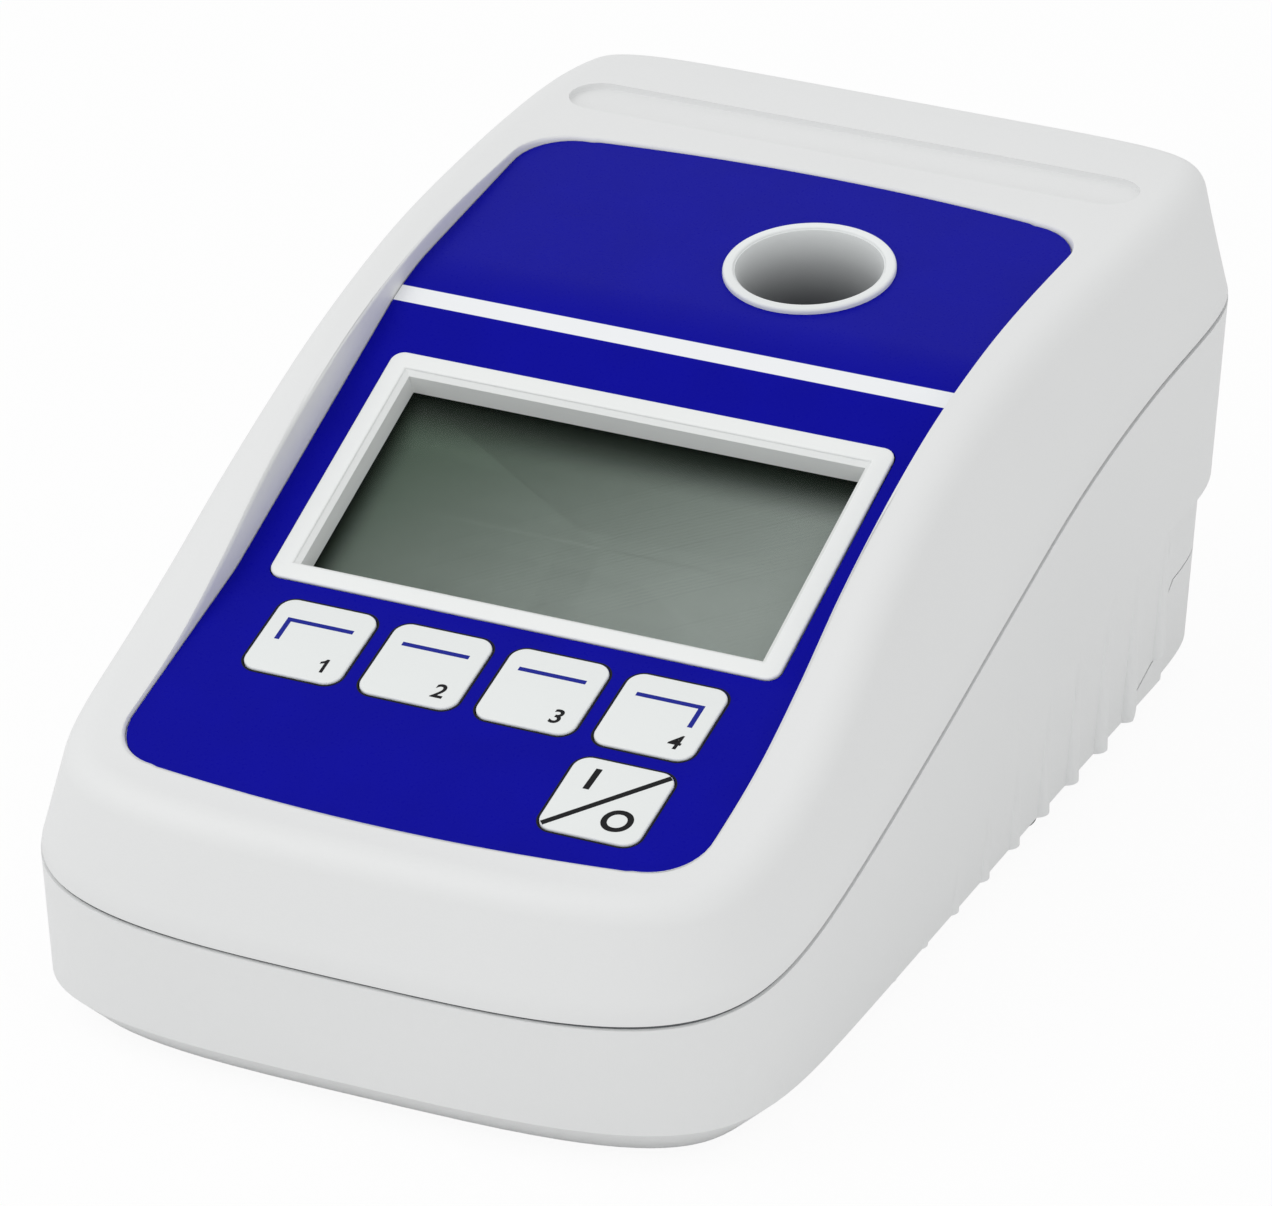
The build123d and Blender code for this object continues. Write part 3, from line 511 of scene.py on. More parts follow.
def place_piece(name, bm, slot, rides_on, smooth_angle=32.0, replaces=(), material=None):
    """Turns a bmesh in millimetres into a finished piece that rides on a body."""
    bmesh.ops.scale(bm, vec=(MM, MM, MM), verts=bm.verts)
    bmesh.ops.recalc_face_normals(bm, faces=bm.faces)
    bm.normal_update()
    limit = radians(smooth_angle)
    for edge in bm.edges:
        edge.smooth = len(edge.link_faces) == 2 and edge.calc_face_angle(pi) < limit
    for face in bm.faces:
        face.smooth = True
    piece = add_object(name, mesh_from(name, bm))
    piece.data.materials.append(material or finish(slot))
    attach(piece, rides_on)
    if replaces:
        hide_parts(*replaces)
    return piece


def profile_height(profile, y):
    """Smooth curve through a profile's points."""
    y = min(max(y, profile[0][0]), profile[-1][0])
    last = len(profile) - 1
    slopes = []
    for i in range(last + 1):
        a, b = max(i - 1, 0), min(i + 1, last)
        slopes.append((profile[b][1] - profile[a][1]) / (profile[b][0] - profile[a][0]))
    i = 0
    while i < last - 1 and y > profile[i + 1][0]:
        i += 1
    span = profile[i + 1][0] - profile[i][0]
    t = (y - profile[i][0]) / span
    start = (2 * t**3 - 3 * t**2 + 1) * profile[i][1] + (t**3 - 2 * t**2 + t) * span * slopes[i]
    end = (-2 * t**3 + 3 * t**2) * profile[i + 1][1] + (t**3 - t**2) * span * slopes[i + 1]
    return start + end


def seam_height(y):
    return profile_height(SEAM_PROFILE, y)


def rim_height(y):
    return profile_height(RIM_PROFILE, y)


def panel_breaks():
    """The panel's two breaks: place, height, slopes on each side and blend radius."""
    p = panel()
    first = p.front_height + (p.lower_break - p.front) * tan(p.key_slope)
    second = first + (p.upper_break - p.lower_break) * tan(p.display_slope)
    return [(p.lower_break, first, p.key_slope, p.display_slope, LOWER_BLEND),
            (p.upper_break, second, p.display_slope, p.well_slope, UPPER_BLEND)]


def straight_panel_height(y):
    """Height of the panel's three flats, with sharp breaks."""
    p = panel()
    lower, upper = panel_breaks()
    if y < p.lower_break:
        return lower[1] + (y - p.lower_break) * tan(p.key_slope)
    if y < p.upper_break:
        return lower[1] + (y - p.lower_break) * tan(p.display_slope)
    return upper[1] + (y - p.upper_break) * tan(p.well_slope)


def panel_height(y):
    """Height of the panel's face, with its two rounded breaks."""
    for place, height, before, after, radius in panel_breaks():
        reach = radius * tan(abs(after - before) / 2)
        low, high = place - reach * cos(before), place + reach * cos(after)
        if low < y < high:
            turn = 1 if after > before else -1
            centre_y = low - turn * radius * sin(before)
            centre_z = height - reach * sin(before) + turn * radius * cos(before)
            return centre_z - turn * (radius**2 - (y - centre_y)**2)**0.5
    return straight_panel_height(y)


def flat_matrix(x, y, slope):
    """Frame on one of the panel's flats: x across, y up the slope, z out of the face."""
    return Matrix.Translation((x, y, straight_panel_height(y))) @ Matrix.Rotation(slope, 4, "X")


def furthest(holds, limit, halvings=40):
    """The largest value up to a limit for which a test still holds."""
    low, high = 0.0, limit
    for _ in range(halvings):
        middle = (low + high) / 2
        low, high = (middle, high) if holds(middle) else (low, middle)
    return low


def body_outline(count):
    """Stations round the body at the seam: place and outward direction."""
    half_width, half_length = body().width / 2, body().length / 2
    stations = []
    for i in range(count):
        angle = 2 * pi * i / count
        across, along = cos(angle), sin(angle)
        p, q = REAR_SQUARENESS if along > 0 else FRONT_SQUARENESS
        wide, long = abs(across) / half_width, abs(along) / half_length
        r = furthest(lambda reach: (reach * wide)**p + (reach * long)**q < 1, body().length)
        x, y = r * across, r * along
        nx = p * (abs(x) / half_width)**(p - 1) / half_width * (1 if x > 0 else -1)
        ny = q * (abs(y) / half_length)**(q - 1) / half_length * (1 if y > 0 else -1)
        stations.append((x, y, *Vector((nx, ny)).normalized()))
    return stations


def ring_of_rows(rows, closed):
    """Grows a circle row by row; rows[k][i] is station i's place in row k. A closed one joins its ends."""
    count = len(rows[0])
    bm = bmesh.new()
    station = bm.verts.layers.int.new("station")
    made = bmesh.ops.create_circle(bm, cap_ends=False, segments=count, radius=1.0)["verts"]
    for i, vert in enumerate(made):
        vert[station] = i
        vert.co = rows[0][i]
    first = list(bm.edges)
    edges = first
    for row in rows[1:]:
        grown = bmesh.ops.extrude_edge_only(bm, edges=edges)["geom"]
        fresh = {part for part in grown if isinstance(part, bmesh.types.BMVert)}
        for vert in fresh:
            vert.co = row[vert[station]]
        grown_edges = [part for part in grown if isinstance(part, bmesh.types.BMEdge)]
        edges = [edge for edge in grown_edges if fresh.issuperset(edge.verts)]
    if closed:
        bmesh.ops.bridge_loops(bm, edges=first + edges)
    return bm, first, edges


def thicken(bm, faces, rise):
    """Gives flat faces a thickness, by a rise along z."""
    grown = bmesh.ops.extrude_face_region(bm, geom=faces, use_keep_orig=True)["geom"]
    moved = [part for part in grown if isinstance(part, bmesh.types.BMVert)]
    bmesh.ops.translate(bm, verts=moved, vec=(0, 0, rise))


def rounded_rectangle(width, height, radius, segments=8):
    """Points round a rounded rectangle, anticlockwise from its right side."""
    radius = max(radius, 0.02)
    points = []
    for k, (sx, sy) in enumerate(((1, 1), (-1, 1), (-1, -1), (1, -1))):
        cx, cy = sx * (width / 2 - radius), sy * (height / 2 - radius)
        for j in range(segments + 1):
            angle = pi / 2 * (k + j / segments)
            points.append((cx + radius * cos(angle), cy + radius * sin(angle)))
    return points


def rounded_rows(width, height, radius, steps, segments=8):
    """Rows of a rounded-rectangle section; each step is an inset and a height."""
    rows = []
    for inset, z in steps:
        rows.append([(x, y, z) for x, y in rounded_rectangle(width - 2 * inset, height - 2 * inset,
                                                             radius - inset, segments)])
    return rows


def arc_steps(radius, inset, top, count=4, inward=True):
    """Insets and heights over a rounded edge, from the side up to the top, or from the top down inside."""
    steps = []
    for j in range(count + 1):
        a = pi / 2 * j / count
        if inward:
            steps.append((inset + radius * (1 - cos(a)), top - radius + radius * sin(a)))
        else:
            steps.append((inset - radius + radius * sin(a), top - radius + radius * cos(a)))
    return steps


def turned(profile, segments=96, closed=True):
    """Spins a profile of (radius, height) points round the z axis."""
    bm = bmesh.new()
    verts = [bm.verts.new((r, 0, z)) for r, z in profile]
    ends = verts[1:] + verts[:1] if closed else verts[1:]
    for a, b in zip(verts, ends):
        bm.edges.new((a, b))
    bmesh.ops.spin(bm, geom=bm.verts[:] + bm.edges[:], cent=(0, 0, 0), axis=(0, 0, 1), angle=2 * pi,
                   steps=segments, use_merge=True, use_duplicate=False)
    bmesh.ops.remove_doubles(bm, verts=bm.verts, dist=1e-4)
    return bm


# Shells


def panel_ray_outline(stations, inset):
    """For each station, where the ray from the panel's middle meets the panel's bowed and rounded outline."""
    p = panel()
    half = p.width / 2 - inset
    front, rear = p.front + inset, p.rear - inset
    middle = (front + rear) / 2
    corner = p.corner - inset
    corner_x = half - corner
    corner_bow = p.bow * (corner_x / half)**2

    def outside(x, y):
        x = abs(x)
        bow = p.bow * (x / half)**2
        if x > half or y < front + bow or y > rear - bow:
            return True
        for end, inward in ((front + corner_bow, 1), (rear - corner_bow, -1)):
            over_x, over_y = x - corner_x, y - end - inward * corner * CORNER_SETBACK
            if over_x > 0 and inward * over_y < 0 and over_x**2 + over_y**2 > corner**2:
                return True
        return False

    found = []
    for x, y, _, _ in stations:
        direction = Vector((x, y - middle)).normalized()
        r = furthest(lambda r: not outside(r * direction.x, middle + r * direction.y), rear - front)
        found.append((r * direction.x, middle + r * direction.y))
    return found


def rise_to_rim(y, ny, lean):
    """How far above the seam the leaning wall would meet the rim's top."""
    tallest = max(height for _, height in RIM_PROFILE)
    return furthest(lambda rise: seam_height(y) + rise <= rim_height(y - ny * rise * lean), tallest)


def upper_section(station, edge):
    """One section of the upper shell, from its inner foot up over the rim to the panel's recess."""
    b, p = body(), panel()
    x, y, nx, ny = station
    lean = b.upper_lean + (b.rear_lean - b.upper_lean) * max(ny, 0.0)**2

    def wall_point(height, inset):
        offset = -(height - seam_height(y)) * lean - inset
        return Vector((x + nx * offset, y + ny * offset, height))

    foot = seam_height(y) + b.seam_gap / 2
    rows = [wall_point(foot, b.wall), wall_point(foot, FOOT_ROUND), wall_point(foot + FOOT_NICK, FOOT_NICK),
            wall_point(foot + FOOT_ROUND, 0.0)]
    # Rounded rim: the circle that touches the wall and the rim's top, in the plane of this section
    rise = rise_to_rim(y, ny, lean)
    crest_y = y - ny * CREST_INSET
    slope = ny * (rim_height(crest_y - 0.5) - rim_height(crest_y + 0.5))
    wall_dir = Vector((lean, 1.0)).normalized()
    top_dir = Vector((1.0, slope)).normalized()
    corner = Vector((rise * lean, seam_height(y) + rise))
    opening = (-wall_dir).angle(top_dir)
    reach = b.rim_radius / tan(opening / 2)
    start = corner - wall_dir * reach
    end = corner + top_dir * reach
    centre = corner + (-wall_dir + top_dir).normalized() * (b.rim_radius / sin(opening / 2))
    for k in range(1, 4):
        rows.append(wall_point(foot + (start.y - foot) * k / 4, 0.0))
    first_spoke = start - centre
    turn = first_spoke.angle_signed(end - centre)
    for k in range(RIM_STEPS + 1):
        s, z = centre + Matrix.Rotation(-turn * k / RIM_STEPS, 2) @ first_spoke
        rows.append(Vector((x - nx * s, y - ny * s, z)))
    # Rim's top, ruled across to the recess, with a small rounded inner edge
    outer = rows[-1]
    ex, ey = edge
    across = Vector((ex - outer.x, ey - outer.y))
    unit = across / max(across.length, 1e-6)
    blend = rim_height(outer.y) - outer.z
    for share in (0.15, 0.4, 0.7, 0.9):
        px, py = outer.x + across.x * share, outer.y + across.y * share
        rows.append(Vector((px, py, rim_height(py) - blend * (1 - share)**2)))
    for k in range(4):
        angle = pi / 2 * k / 3
        back = RECESS_EDGE * (1 - sin(angle))
        rows.append(Vector((ex - unit.x * back, ey - unit.y * back,
                            rim_height(ey) - RECESS_EDGE * (1 - cos(angle)))))
    # Recess floor, and back under it to the wall
    ledge = Vector((ex + unit.x * LEDGE, ey + unit.y * LEDGE))
    floor, ledge_floor = panel_height(ey) - p.film, panel_height(ledge.y) - p.film
    rows.append(Vector((ex, ey, floor)))
    rows.append(Vector((*ledge, ledge_floor)))
    rows.append(Vector((*ledge, ledge_floor - PANEL_SKIN)))
    under = min(floor - b.wall, rim_height(ey) - RIM_SKIN)
    rows.append(wall_point(max(under, foot + LEAST_WALL), b.wall))
    return rows


def cut_away(bm, cutter):
    """Cuts one closed bmesh out of another and returns what is left."""
    blank = add_object("blank", mesh_from("blank", bm))
    tool = add_object("cutter", mesh_from("cutter", cutter))
    modifier = blank.modifiers.new("cut", "BOOLEAN")
    modifier.operation = "DIFFERENCE"
    modifier.solver = "EXACT"
    modifier.object = tool
    graph = bpy.context.evaluated_depsgraph_get()
    result = bpy.data.meshes.new_from_object(blank.evaluated_get(graph))
    left = bmesh.new()
    left.from_mesh(result)
    bpy.data.meshes.remove(result)
    for piece in (blank, tool):
        mesh = piece.data
        bpy.data.objects.remove(piece)
        bpy.data.meshes.remove(mesh)
    return left


def build_upper_shell():
    stations = body_outline(WALL_STATIONS)
    edges = panel_ray_outline(stations, 0.0)
    sections = [upper_section(s, e) for s, e in zip(stations, edges)]
    rows = [list(row) for row in zip(*sections)]
    bm, _, _ = ring_of_rows(rows, closed=True)
    bmesh.ops.recalc_face_normals(bm, faces=bm.faces)
    floor = rim_height(RECESS_Y) - RECESS_DEPTH
    # The recess has a small rounded edge at its floor, and its cutter goes well past the rim
    steps = [(0.25, floor), (0.08, floor + 0.07), (0.0, floor + 0.3), (0.0, floor + 3.0)]
    rows = rounded_rows(*RECESS_SIZE, RECESS_SIZE[1] / 2, steps, 12)
    cutter, first, last = ring_of_rows(rows, closed=False)
    bmesh.ops.edgeloop_fill(cutter, edges=first)
    bmesh.ops.edgeloop_fill(cutter, edges=last)
    bmesh.ops.remove_doubles(cutter, verts=cutter.verts, dist=1e-4)
    bmesh.ops.translate(cutter, verts=cutter.verts, vec=(0, RECESS_Y, 0))
    bmesh.ops.recalc_face_normals(cutter, faces=cutter.faces)
    bm = cut_away(bm, cutter)
    return place_piece("upper_shell", bm, "housing_abs", "housing", replaces=["upper_housing"])


def merged_copy(node, name, slot, rides_on, smooth_angle=28.0):
    """A copy of a CAD node with its triangles joined, so that its curves shade smoothly."""
    bm = bmesh.new()
    bm.from_mesh(frame["nodes"][node].data)
    bmesh.ops.scale(bm, vec=(1 / MM, 1 / MM, 1 / MM), verts=bm.verts)
    bmesh.ops.remove_doubles(bm, verts=bm.verts, dist=0.001)
    piece = place_piece(name, bm, slot, rides_on, smooth_angle, replaces=[node])
    # Large faces keep their own shading beside the small ones of ribs and rounded edges
    weighted = piece.modifiers.new("weighted_normals", "WEIGHTED_NORMAL")
    weighted.mode = "FACE_AREA"
    weighted.weight = 50
    weighted.keep_sharp = True
    return piece


# Operators, each after the functions that make its pieces


class MakeUpperShell(bpy.types.Operator):
    """Upper shell: leaning walls, rounded rim and the recess for the panel"""
    bl_idname = "photometer.upper_shell"
    bl_label = "Upper shell"

    def execute(self, context):
        build_upper_shell()
        return {"FINISHED"}


class MakeLowerShell(bpy.types.Operator):
    """Lower shell and battery door, smoothed from the frame's own solids"""
    bl_idname = "photometer.lower_shell"
    bl_label = "Lower shell"

    def execute(self, context):
        merged_copy("lower_housing", "lower_shell", "housing_abs", "housing")
        merged_copy("battery_door", "battery_door_shell", "housing_abs", "battery_door")
        return {"FINISHED"}


def rounded_hole(width, height, radius, matrix, segments=8):
    """Points of a rounded hole on one of the panel's flats, seen in plan."""
    return [(matrix @ Vector((x, y, 0))).xy for x, y in rounded_rectangle(width, height, radius, segments)]


def key_places():
    p = panel()
    places = {f"key_{i + 1}": ((i - 1.5) * p.key_pitch, 0.0) for i in range(KEY_COUNT)}
    places["power_key"] = (1.5 * p.key_pitch, -p.key_pitch)
    return places


def key_matrix(name):
    p = panel()
    x, up = key_places()[name]
    return flat_matrix(0, p.key_row, p.key_slope) @ Matrix.Translation((x, up, 0))


def display_matrix():
    p = panel()
    y = p.lower_break + (FRAME_SIZE[1] / 2 - FRAME_LEAD) * cos(p.display_slope)
    return flat_matrix(0, y, p.display_slope)


def well_matrix():
    return flat_matrix(*WELL_PLACE, panel().well_slope)


def loop_edges(bm, points):
    verts = [bm.verts.new((x, y, 0)) for x, y in points]
    return [bm.edges.new((a, b)) for a, b in zip(verts, verts[1:] + verts[:1])]


def film_edges(bm):
    """Edges of the film's outline, and of its windows for the display, the keys and the well."""
    loops = [panel_ray_outline(body_outline(FILM_STATIONS), FILM_GAP)]
    width, height = (side + 2 * FILM_GAP for side in FRAME_SIZE)
    loops.append(rounded_hole(width, height, FRAME_CORNER + FILM_GAP, display_matrix()))
    side = panel().key_size + 2 * KEY_GAP
    loops += [rounded_hole(side, side, KEY_CORNER + KEY_GAP, key_matrix(name)) for name in key_places()]
    radius = COLLAR_NECK + KEY_GAP
    turns = [2 * pi * k / WELL_SEGMENTS for k in range(WELL_SEGMENTS)]
    loops.append([(well_matrix() @ Vector((radius * cos(a), radius * sin(a), 0))).xy for a in turns])
    return [edge for points in loops for edge in loop_edges(bm, points)]


def cut_at_blends(bm):
    """Cuts the flat film into strips that can follow the panel's two blended breaks."""
    for place, _, before, after, radius in panel_breaks():
        reach = radius * tan(abs(after - before) / 2) * BLEND_MARGIN
        for k in range(BLEND_CUTS + 1):
            y = place - reach + 2 * reach * k / BLEND_CUTS
            bmesh.ops.bisect_plane(bm, geom=bm.verts[:] + bm.edges[:] + bm.faces[:], plane_co=(0, y, 0),
                                   plane_no=(0, 1, 0), dist=1e-4)


class MakePanelFilm(bpy.types.Operator):
    """Printed film that follows the panel's three flats, with windows for keys, display and well"""
    bl_idname = "photometer.panel_film"
    bl_label = "Panel film"

    def execute(self, context):
        bm = bmesh.new()
        bmesh.ops.triangle_fill(bm, edges=film_edges(bm), use_beauty=True, use_dissolve=False)
        cut_at_blends(bm)
        for vert in bm.verts:
            vert.co.z = panel_height(vert.co.y)
        for face in bm.faces:
            if face.normal.z < 0:
                face.normal_flip()
        thicken(bm, bm.faces[:], FILM_LIFT - panel().film)
        place_piece("panel_film", bm, "panel_film", "housing", replaces=["control_panel"])
        return {"FINISHED"}


class MakeDisplayFrame(bpy.types.Operator):
    """Raised white frame round the display, with a rounded face and a sloped inner edge"""
    bl_idname = "photometer.display_frame"
    bl_label = "Display frame"

    def execute(self, context):
        proud, seat, depth, border, edge = 0.35, 0.37, 3.07, 2.9, 0.25
        taper, wall_inset = 0.1, 1.9
        flat_end, slope_start, slope_drop = border - 1.0, border - 0.55, 0.75
        steps = [(taper, -seat)] + arc_steps(edge, 0.0, proud)
        steps += [(flat_end, proud)] + arc_steps(edge, slope_start, proud, inward=False)
        steps += [(border, proud - slope_drop), (border, -depth), (wall_inset, -depth), (wall_inset, -seat)]
        bm, _, _ = ring_of_rows(rounded_rows(*FRAME_SIZE, FRAME_CORNER, steps), closed=True)
        bmesh.ops.transform(bm, matrix=display_matrix(), verts=bm.verts)
        place_piece("display_surround", bm, "frame_abs", "housing", replaces=["display_frame"])
        return {"FINISHED"}


class MakeCollar(bpy.types.Operator):
    """White collar at the mouth of the cell well"""
    bl_idname = "photometer.collar"
    bl_label = "Well collar"

    def execute(self, context):
        outer, mouth, bore, length, proud, film_gap = 10.0, 8.7, 8.3, 14.0, 0.7, 0.02
        funnel_depth, white_depth = 4.0, 10.3
        inner_edge, outer_edge = 0.3, 0.4
        quarter = [pi / 8 * k for k in range(5)]
        profile = [(bore, -length), (bore, -white_depth), (bore, -funnel_depth), (mouth - 0.35, proud - 1.2),
                   (mouth - 0.12, proud - inner_edge)]
        profile += [(mouth + inner_edge * (1 - cos(a)), proud - inner_edge * (1 - sin(a))) for a in quarter]
        profile += [(outer - outer_edge * (1 - sin(a)), proud - outer_edge * (1 - cos(a))) for a in quarter]
        profile += [(outer, film_gap), (COLLAR_NECK, film_gap), (COLLAR_NECK, -length)]
        bm = turned(profile)
        # Deep in the bore the block's black shows through instead of the collar's white
        for face in bm.faces:
            middle = face.calc_center_median()
            if middle.z < -white_depth and middle.xy.length < bore + 0.1:
                face.material_index = 1
        bmesh.ops.transform(bm, matrix=well_matrix(), verts=bm.verts)
        piece = place_piece("collar", bm, "collar_abs", "housing", replaces=["well_collar"])
        piece.data.materials.append(finish("black_acetal"))
        return {"FINISHED"}


def raised_mark(name, outline, key, ink):
    """A printed mark: a thin plate of ink on a key's face."""
    bm = bmesh.new()
    face = bm.faces.new([bm.verts.new((x, y, KEY_PROUD)) for x, y in outline])
    thicken(bm, [face], INK_RISE)
    bmesh.ops.transform(bm, matrix=key_matrix(key), verts=bm.verts)
    place_piece(name, bm, "key_film", key, material=ink)


def lettering(name, sign, size, centre, key, ink, shear, bold):
    """One printed sign, made a mesh and laid on a key's face."""
    curve = bpy.data.curves.new(name, "FONT")
    curve.body = sign
    curve.size = size
    curve.shear = shear
    curve.offset = bold
    curve.align_x = "CENTER"
    curve.align_y = "CENTER"
    curve.extrude = LETTER_RISE
    letter = add_object(name + "_curve", curve)
    bpy.context.view_layer.update()
    mesh = bpy.data.meshes.new_from_object(letter.evaluated_get(bpy.context.evaluated_depsgraph_get()))
    bpy.data.objects.remove(letter)
    bm = bmesh.new()
    bm.from_mesh(mesh)
    bpy.data.meshes.remove(mesh)
    bmesh.ops.remove_doubles(bm, verts=bm.verts, dist=1e-4)
    xs, ys = [v.co.x for v in bm.verts], [v.co.y for v in bm.verts]
    middle = Vector(((min(xs) + max(xs)) / 2, (min(ys) + max(ys)) / 2, 0))
    bmesh.ops.translate(bm, verts=bm.verts, vec=Vector((*centre, KEY_PROUD + LETTER_RISE)) - middle)
    bmesh.ops.transform(bm, matrix=key_matrix(key), verts=bm.verts)
    place_piece(name, bm, "key_film", key, material=ink)


def bracket_outline(side):
    """Outline of a key's mark: a bar, with a leg down at one side, or none."""
    top, low = BAR_Y + BAR_WIDTH / 2, BAR_Y - BAR_WIDTH / 2
    if side == 0:
        return [(-BAR_HALF, low), (BAR_HALF, low), (BAR_HALF, top), (-BAR_HALF, top)]
    foot = BAR_Y - LEG_LENGTH
    points = [(-side * BAR_HALF, top), (-side * BAR_HALF, low), (side * (BAR_HALF - BAR_WIDTH), low),
              (side * (BAR_HALF - BAR_WIDTH), foot), (side * BAR_HALF, foot), (side * BAR_HALF, top)]
    return points if side > 0 else points[::-1]


def key_rows(steps):
    size = panel().key_size
    return rounded_rows(size, size, KEY_CORNER, steps, KEY_SEGMENTS)


def make_cap(name):
    """A key's cap with its rounded face."""
    steps = [(0.0, -KEY_DEPTH), (0.0, KEY_PROUD - KEY_SHOULDER)] + arc_steps(KEY_EDGE, 0.0, KEY_PROUD)
    bm, first, last = ring_of_rows(key_rows(steps), closed=False)
    bmesh.ops.edgeloop_fill(bm, edges=first)
    bmesh.ops.edgeloop_fill(bm, edges=last)
    bmesh.ops.transform(bm, matrix=key_matrix(name), verts=bm.verts)
    place_piece(name + "_cap", bm, "key_film", name, replaces=[name])


def make_border(name, ink):
    """A dark ring over the gap round a key and the film's edge: painted shade of the gap."""
    steps = [(-GAP_SHADE_FAR, 0.0), (-GAP_SHADE_FAR, GAP_SHADE_RISE), (-GAP_SHADE_NEAR, GAP_SHADE_RISE), (-GAP_SHADE_NEAR, 0.0)]
    bm, _, _ = ring_of_rows(key_rows(steps), closed=True)
    bmesh.ops.transform(bm, matrix=key_matrix(name), verts=bm.verts)
    place_piece(name + "_outline", bm, "panel_film", "housing", material=ink)


def print_number(name, blue, black):
    """A numbered key's bracket and its numeral."""
    number = int(name[-1])
    side = {1: -1, KEY_COUNT: 1}.get(number, 0)
    raised_mark(name + "_bar", bracket_outline(side), name, blue)
    if number == 1:
        outline = [(x + DIGIT_PLACE[0], y + DIGIT_PLACE[1]) for x, y in ONE_OUTLINE]
        raised_mark(name + "_number", outline, name, black)
    else:
        lettering(name + "_number", str(number), DIGIT_SIZE, DIGIT_PLACE, name, black, 0.08, 0.06)


class MakeKeys(bpy.types.Operator):
    """Five press keys with their printed marks, and the painted shade round each"""
    bl_idname = "photometer.keys"
    bl_label = "Keys"

    def execute(self, context):
        blue = printed_ink("printed_ink_blue", tuple(finishes().mark))
        # The black ink prints the marks, and also paints the shade of the gap round each key
        black = printed_ink("printed_ink_and_painted_shade_black", srgb("08090c"))
        for name in key_places():
            make_cap(name)
            make_border(name, black)
            if name != "power_key":
                print_number(name, blue, black)
        lettering("power_key_on", "I", 4.5, (-2.9, 2.7), "power_key", black, 0.05, 0.15)
        lettering("power_key_off", "O", 4.6, (2.5, -2.7), "power_key", black, 0.05, 0.12)
        slash = [(-SLASH_NEAR, -SLASH_FAR), (SLASH_FAR, SLASH_NEAR), (SLASH_NEAR, SLASH_FAR),
                 (-SLASH_FAR, -SLASH_NEAR)]
        raised_mark("power_key_slash", slash, "power_key", black)
        return {"FINISHED"}


class MakeFeet(bpy.types.Operator):
    """Four rubber feet"""
    bl_idname = "photometer.feet"
    bl_label = "Feet"

    def execute(self, context):
        bm = bmesh.new()
        for x, y in FOOT_PLACES:
            foot = turned(FOOT_PROFILE, 48, closed=False)
            bmesh.ops.translate(foot, verts=foot.verts, vec=(x, y, 0))
            mesh = mesh_from("foot_part", foot)
            bm.from_mesh(mesh)
            bpy.data.meshes.remove(mesh)
        place_piece("feet", bm, "foot_rubber", "housing", replaces=["rubber_feet"])
        return {"FINISHED"}


class FinishInnerParts(bpy.types.Operator):
    """Gives every frame node that stays its finish"""
    bl_idname = "photometer.inner_parts"
    bl_label = "Inner parts"

    def execute(self, context):
        slots = {row["node"]: row["material_slot"] for row in frame["record"]["subparts"]}
        for node, piece in frame["nodes"].items():
            piece.data.materials.clear()
            piece.data.materials.append(finish(slots[node]))
        return {"FINISHED"}


# Stage


def area_lamp(name, place, side, power):
    lamp = bpy.data.lights.new(name, "AREA")
    lamp.shape = "SQUARE"
    lamp.size = side
    lamp.energy = power
    holder = add_object(name, lamp)
    holder.location = place
    aim = Vector(LAMP_TARGET) - Vector(place)
    holder.rotation_euler = aim.to_track_quat("-Z", "Y").to_euler()


# Matt paper: an even pale sheet that keeps the object's shadow and looks white to the camera
def matt_paper(name):
    material = bpy.data.materials.new(name)
    material.use_nodes = True
    tree = material.node_tree
    tree.nodes.clear()
    paper = add_node(tree, "ShaderNodeBsdfDiffuse", values={"Color": srgb("f2f2f2")})
    glow = add_node(tree, "ShaderNodeEmission", values={"Color": (1, 1, 1, 1), "Strength": 1.0})
    path = add_node(tree, "ShaderNodeLightPath")
    seen = math_node(tree, "MAXIMUM", path.outputs["Is Camera Ray"], path.outputs["Is Transmission Ray"])
    share = math_node(tree, "MULTIPLY", seen, FLOOR_GLOW)
    mix = add_node(tree, "ShaderNodeMixShader", links={0: share, 1: paper.outputs[0], 2: glow.outputs[0]})
    add_node(tree, "ShaderNodeOutputMaterial", links={"Surface": mix.outputs[0]})
    return material


def make_floor():
    bm = bmesh.new()
    bmesh.ops.create_grid(bm, x_segments=1, y_segments=1, size=FLOOR_HALF)
    floor = add_object("floor", mesh_from("floor", bm))
    floor.data.materials.append(matt_paper("matt_paper"))


def make_world(level):
    """Even light all round, which the camera and reflections see as white."""
    world = bpy.data.worlds.new("studio")
    bpy.context.scene.world = world
    world.use_nodes = True
    tree = world.node_tree
    tree.nodes.clear()
    path = add_node(tree, "ShaderNodeLightPath")
    mirrored = math_node(tree, "MAXIMUM", path.outputs["Is Glossy Ray"], path.outputs["Is Transmission Ray"])
    seen = math_node(tree, "MAXIMUM", path.outputs["Is Camera Ray"], mirrored)
    strength = add_node(tree, "ShaderNodeMapRange", None, {"To Min": level, "To Max": 1.0}, {"Value": seen})
    sky = add_node(tree, "ShaderNodeBackground", None, {"Color": (1, 1, 1, 1)},
                   {"Strength": strength.outputs["Result"]})
    add_node(tree, "ShaderNodeOutputWorld", links={"Surface": sky.outputs[0]})


def make_camera():
    """The photograph's view, found from the corners of the keys."""
    camera = bpy.data.cameras.new("camera")
    camera.sensor_fit = "HORIZONTAL"
    camera.sensor_width = 36.0
    camera.lens = CAMERA_LENS
    camera.clip_start = 0.05
    camera.clip_end = 20.0
    holder = add_object("camera", camera)
    holder.location = CAMERA_PLACE
    holder.rotation_euler = (radians(90.0 - CAMERA_ELEVATION), 0.0, radians(CAMERA_AZIMUTH))
    bpy.context.scene.camera = holder


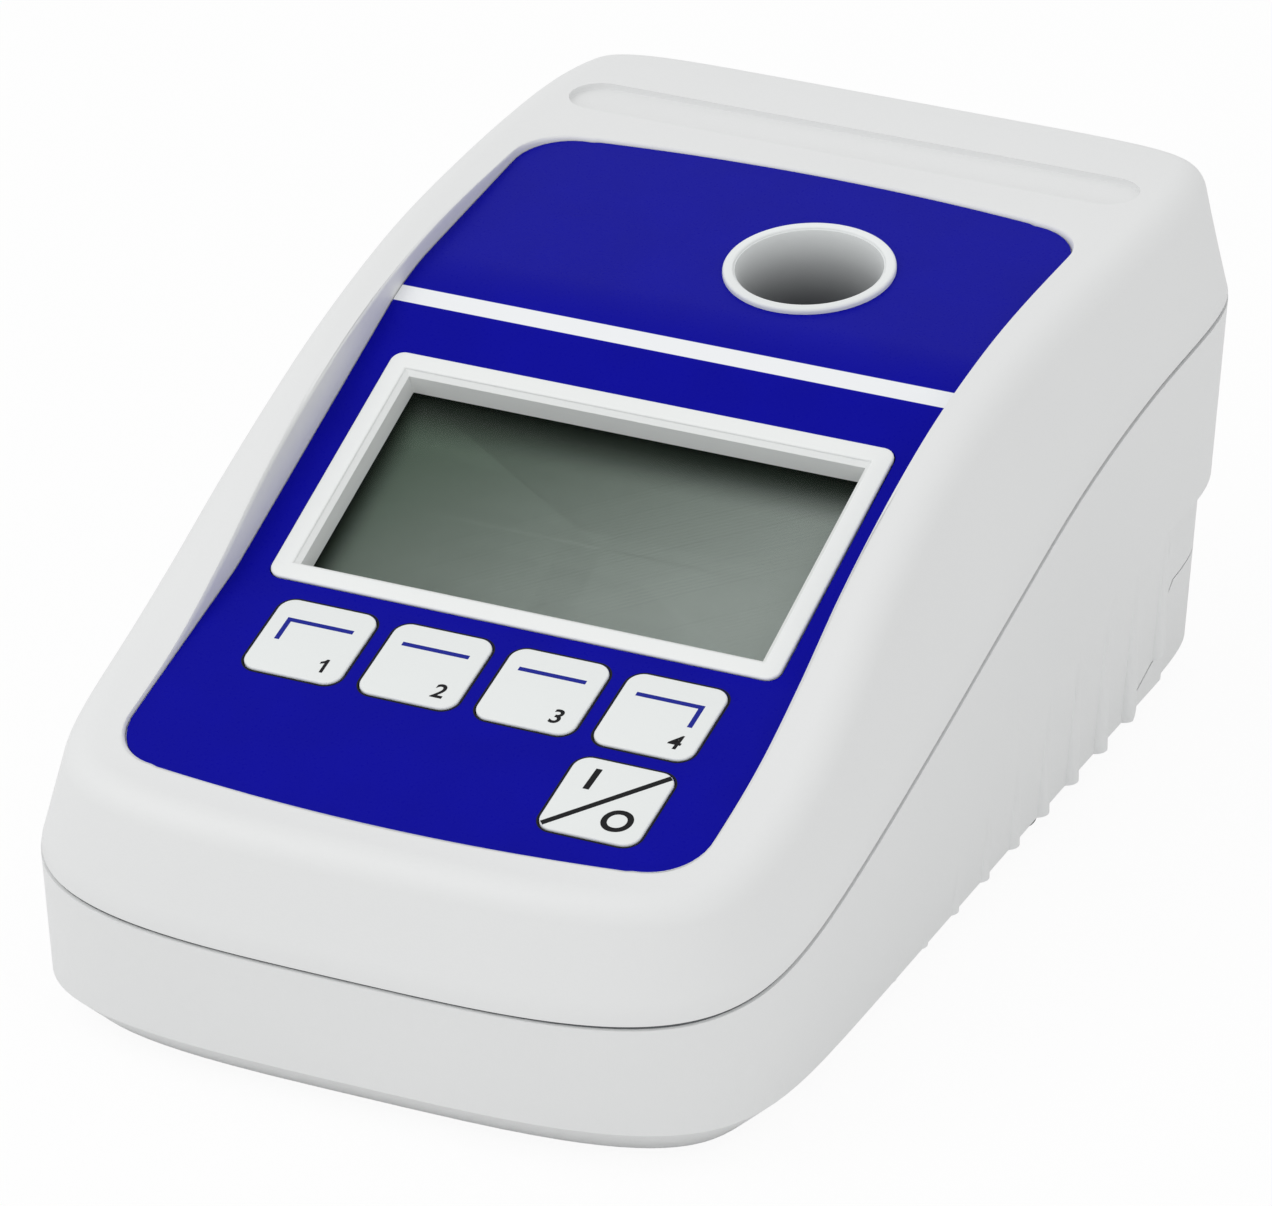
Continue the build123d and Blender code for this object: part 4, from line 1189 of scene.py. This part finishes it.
class MakeStage(bpy.types.Operator):
    """Pale floor, soft lamps, white surroundings and the camera"""
    bl_idname = "photometer.stage"
    bl_label = "Stage"

    def execute(self, context):
        stage = context.scene.photometer_stage
        make_floor()
        make_world(stage.world_level)
        area_lamp("soft_lamp", *SOFT_LAMP, stage.key_light)
        area_lamp("fill_lamp", *FILL_LAMP, stage.fill_light)
        make_camera()
        context.scene.view_settings.view_transform = "Standard"
        return {"FINISHED"}


class PhotometerPanel(bpy.types.Panel):
    """Sizes, finishes and the operators that build the photometer"""
    bl_label = "Photometer"
    bl_idname = "VIEW3D_PT_photometer"
    bl_space_type = "VIEW_3D"
    bl_region_type = "UI"
    bl_category = "Photometer"

    def draw(self, context):
        for group in PROPERTY_GROUPS:
            box = self.layout.box()
            values = getattr(context.scene, group)
            for name in values.bl_rna.properties.keys():
                if name not in ("rna_type", "name"):
                    box.prop(values, name)
        for operator in OPERATORS:
            self.layout.operator(operator.bl_idname)


OPERATORS = [MakeUpperShell, MakeLowerShell, MakePanelFilm, MakeDisplayFrame, MakeCollar, MakeKeys, MakeFeet,
             FinishInnerParts, MakeStage]


def register():
    for group, kind in PROPERTY_GROUPS.items():
        bpy.utils.register_class(kind)
        setattr(bpy.types.Scene, group, bpy.props.PointerProperty(type=kind))
    for operator in OPERATORS:
        bpy.utils.register_class(operator)
    bpy.utils.register_class(PhotometerPanel)


def unregister():
    bpy.utils.unregister_class(PhotometerPanel)
    for operator in reversed(OPERATORS):
        bpy.utils.unregister_class(operator)
    for group, kind in PROPERTY_GROUPS.items():
        delattr(bpy.types.Scene, group)
        bpy.utils.unregister_class(kind)


def main():
    register()
    bpy.ops.photometer.inner_parts()
    bpy.ops.photometer.upper_shell()
    bpy.ops.photometer.lower_shell()
    bpy.ops.photometer.panel_film()
    bpy.ops.photometer.display_frame()
    bpy.ops.photometer.collar()
    bpy.ops.photometer.keys()
    bpy.ops.photometer.feet()
    bpy.ops.photometer.stage()


if __name__ == "__main__":
    main()
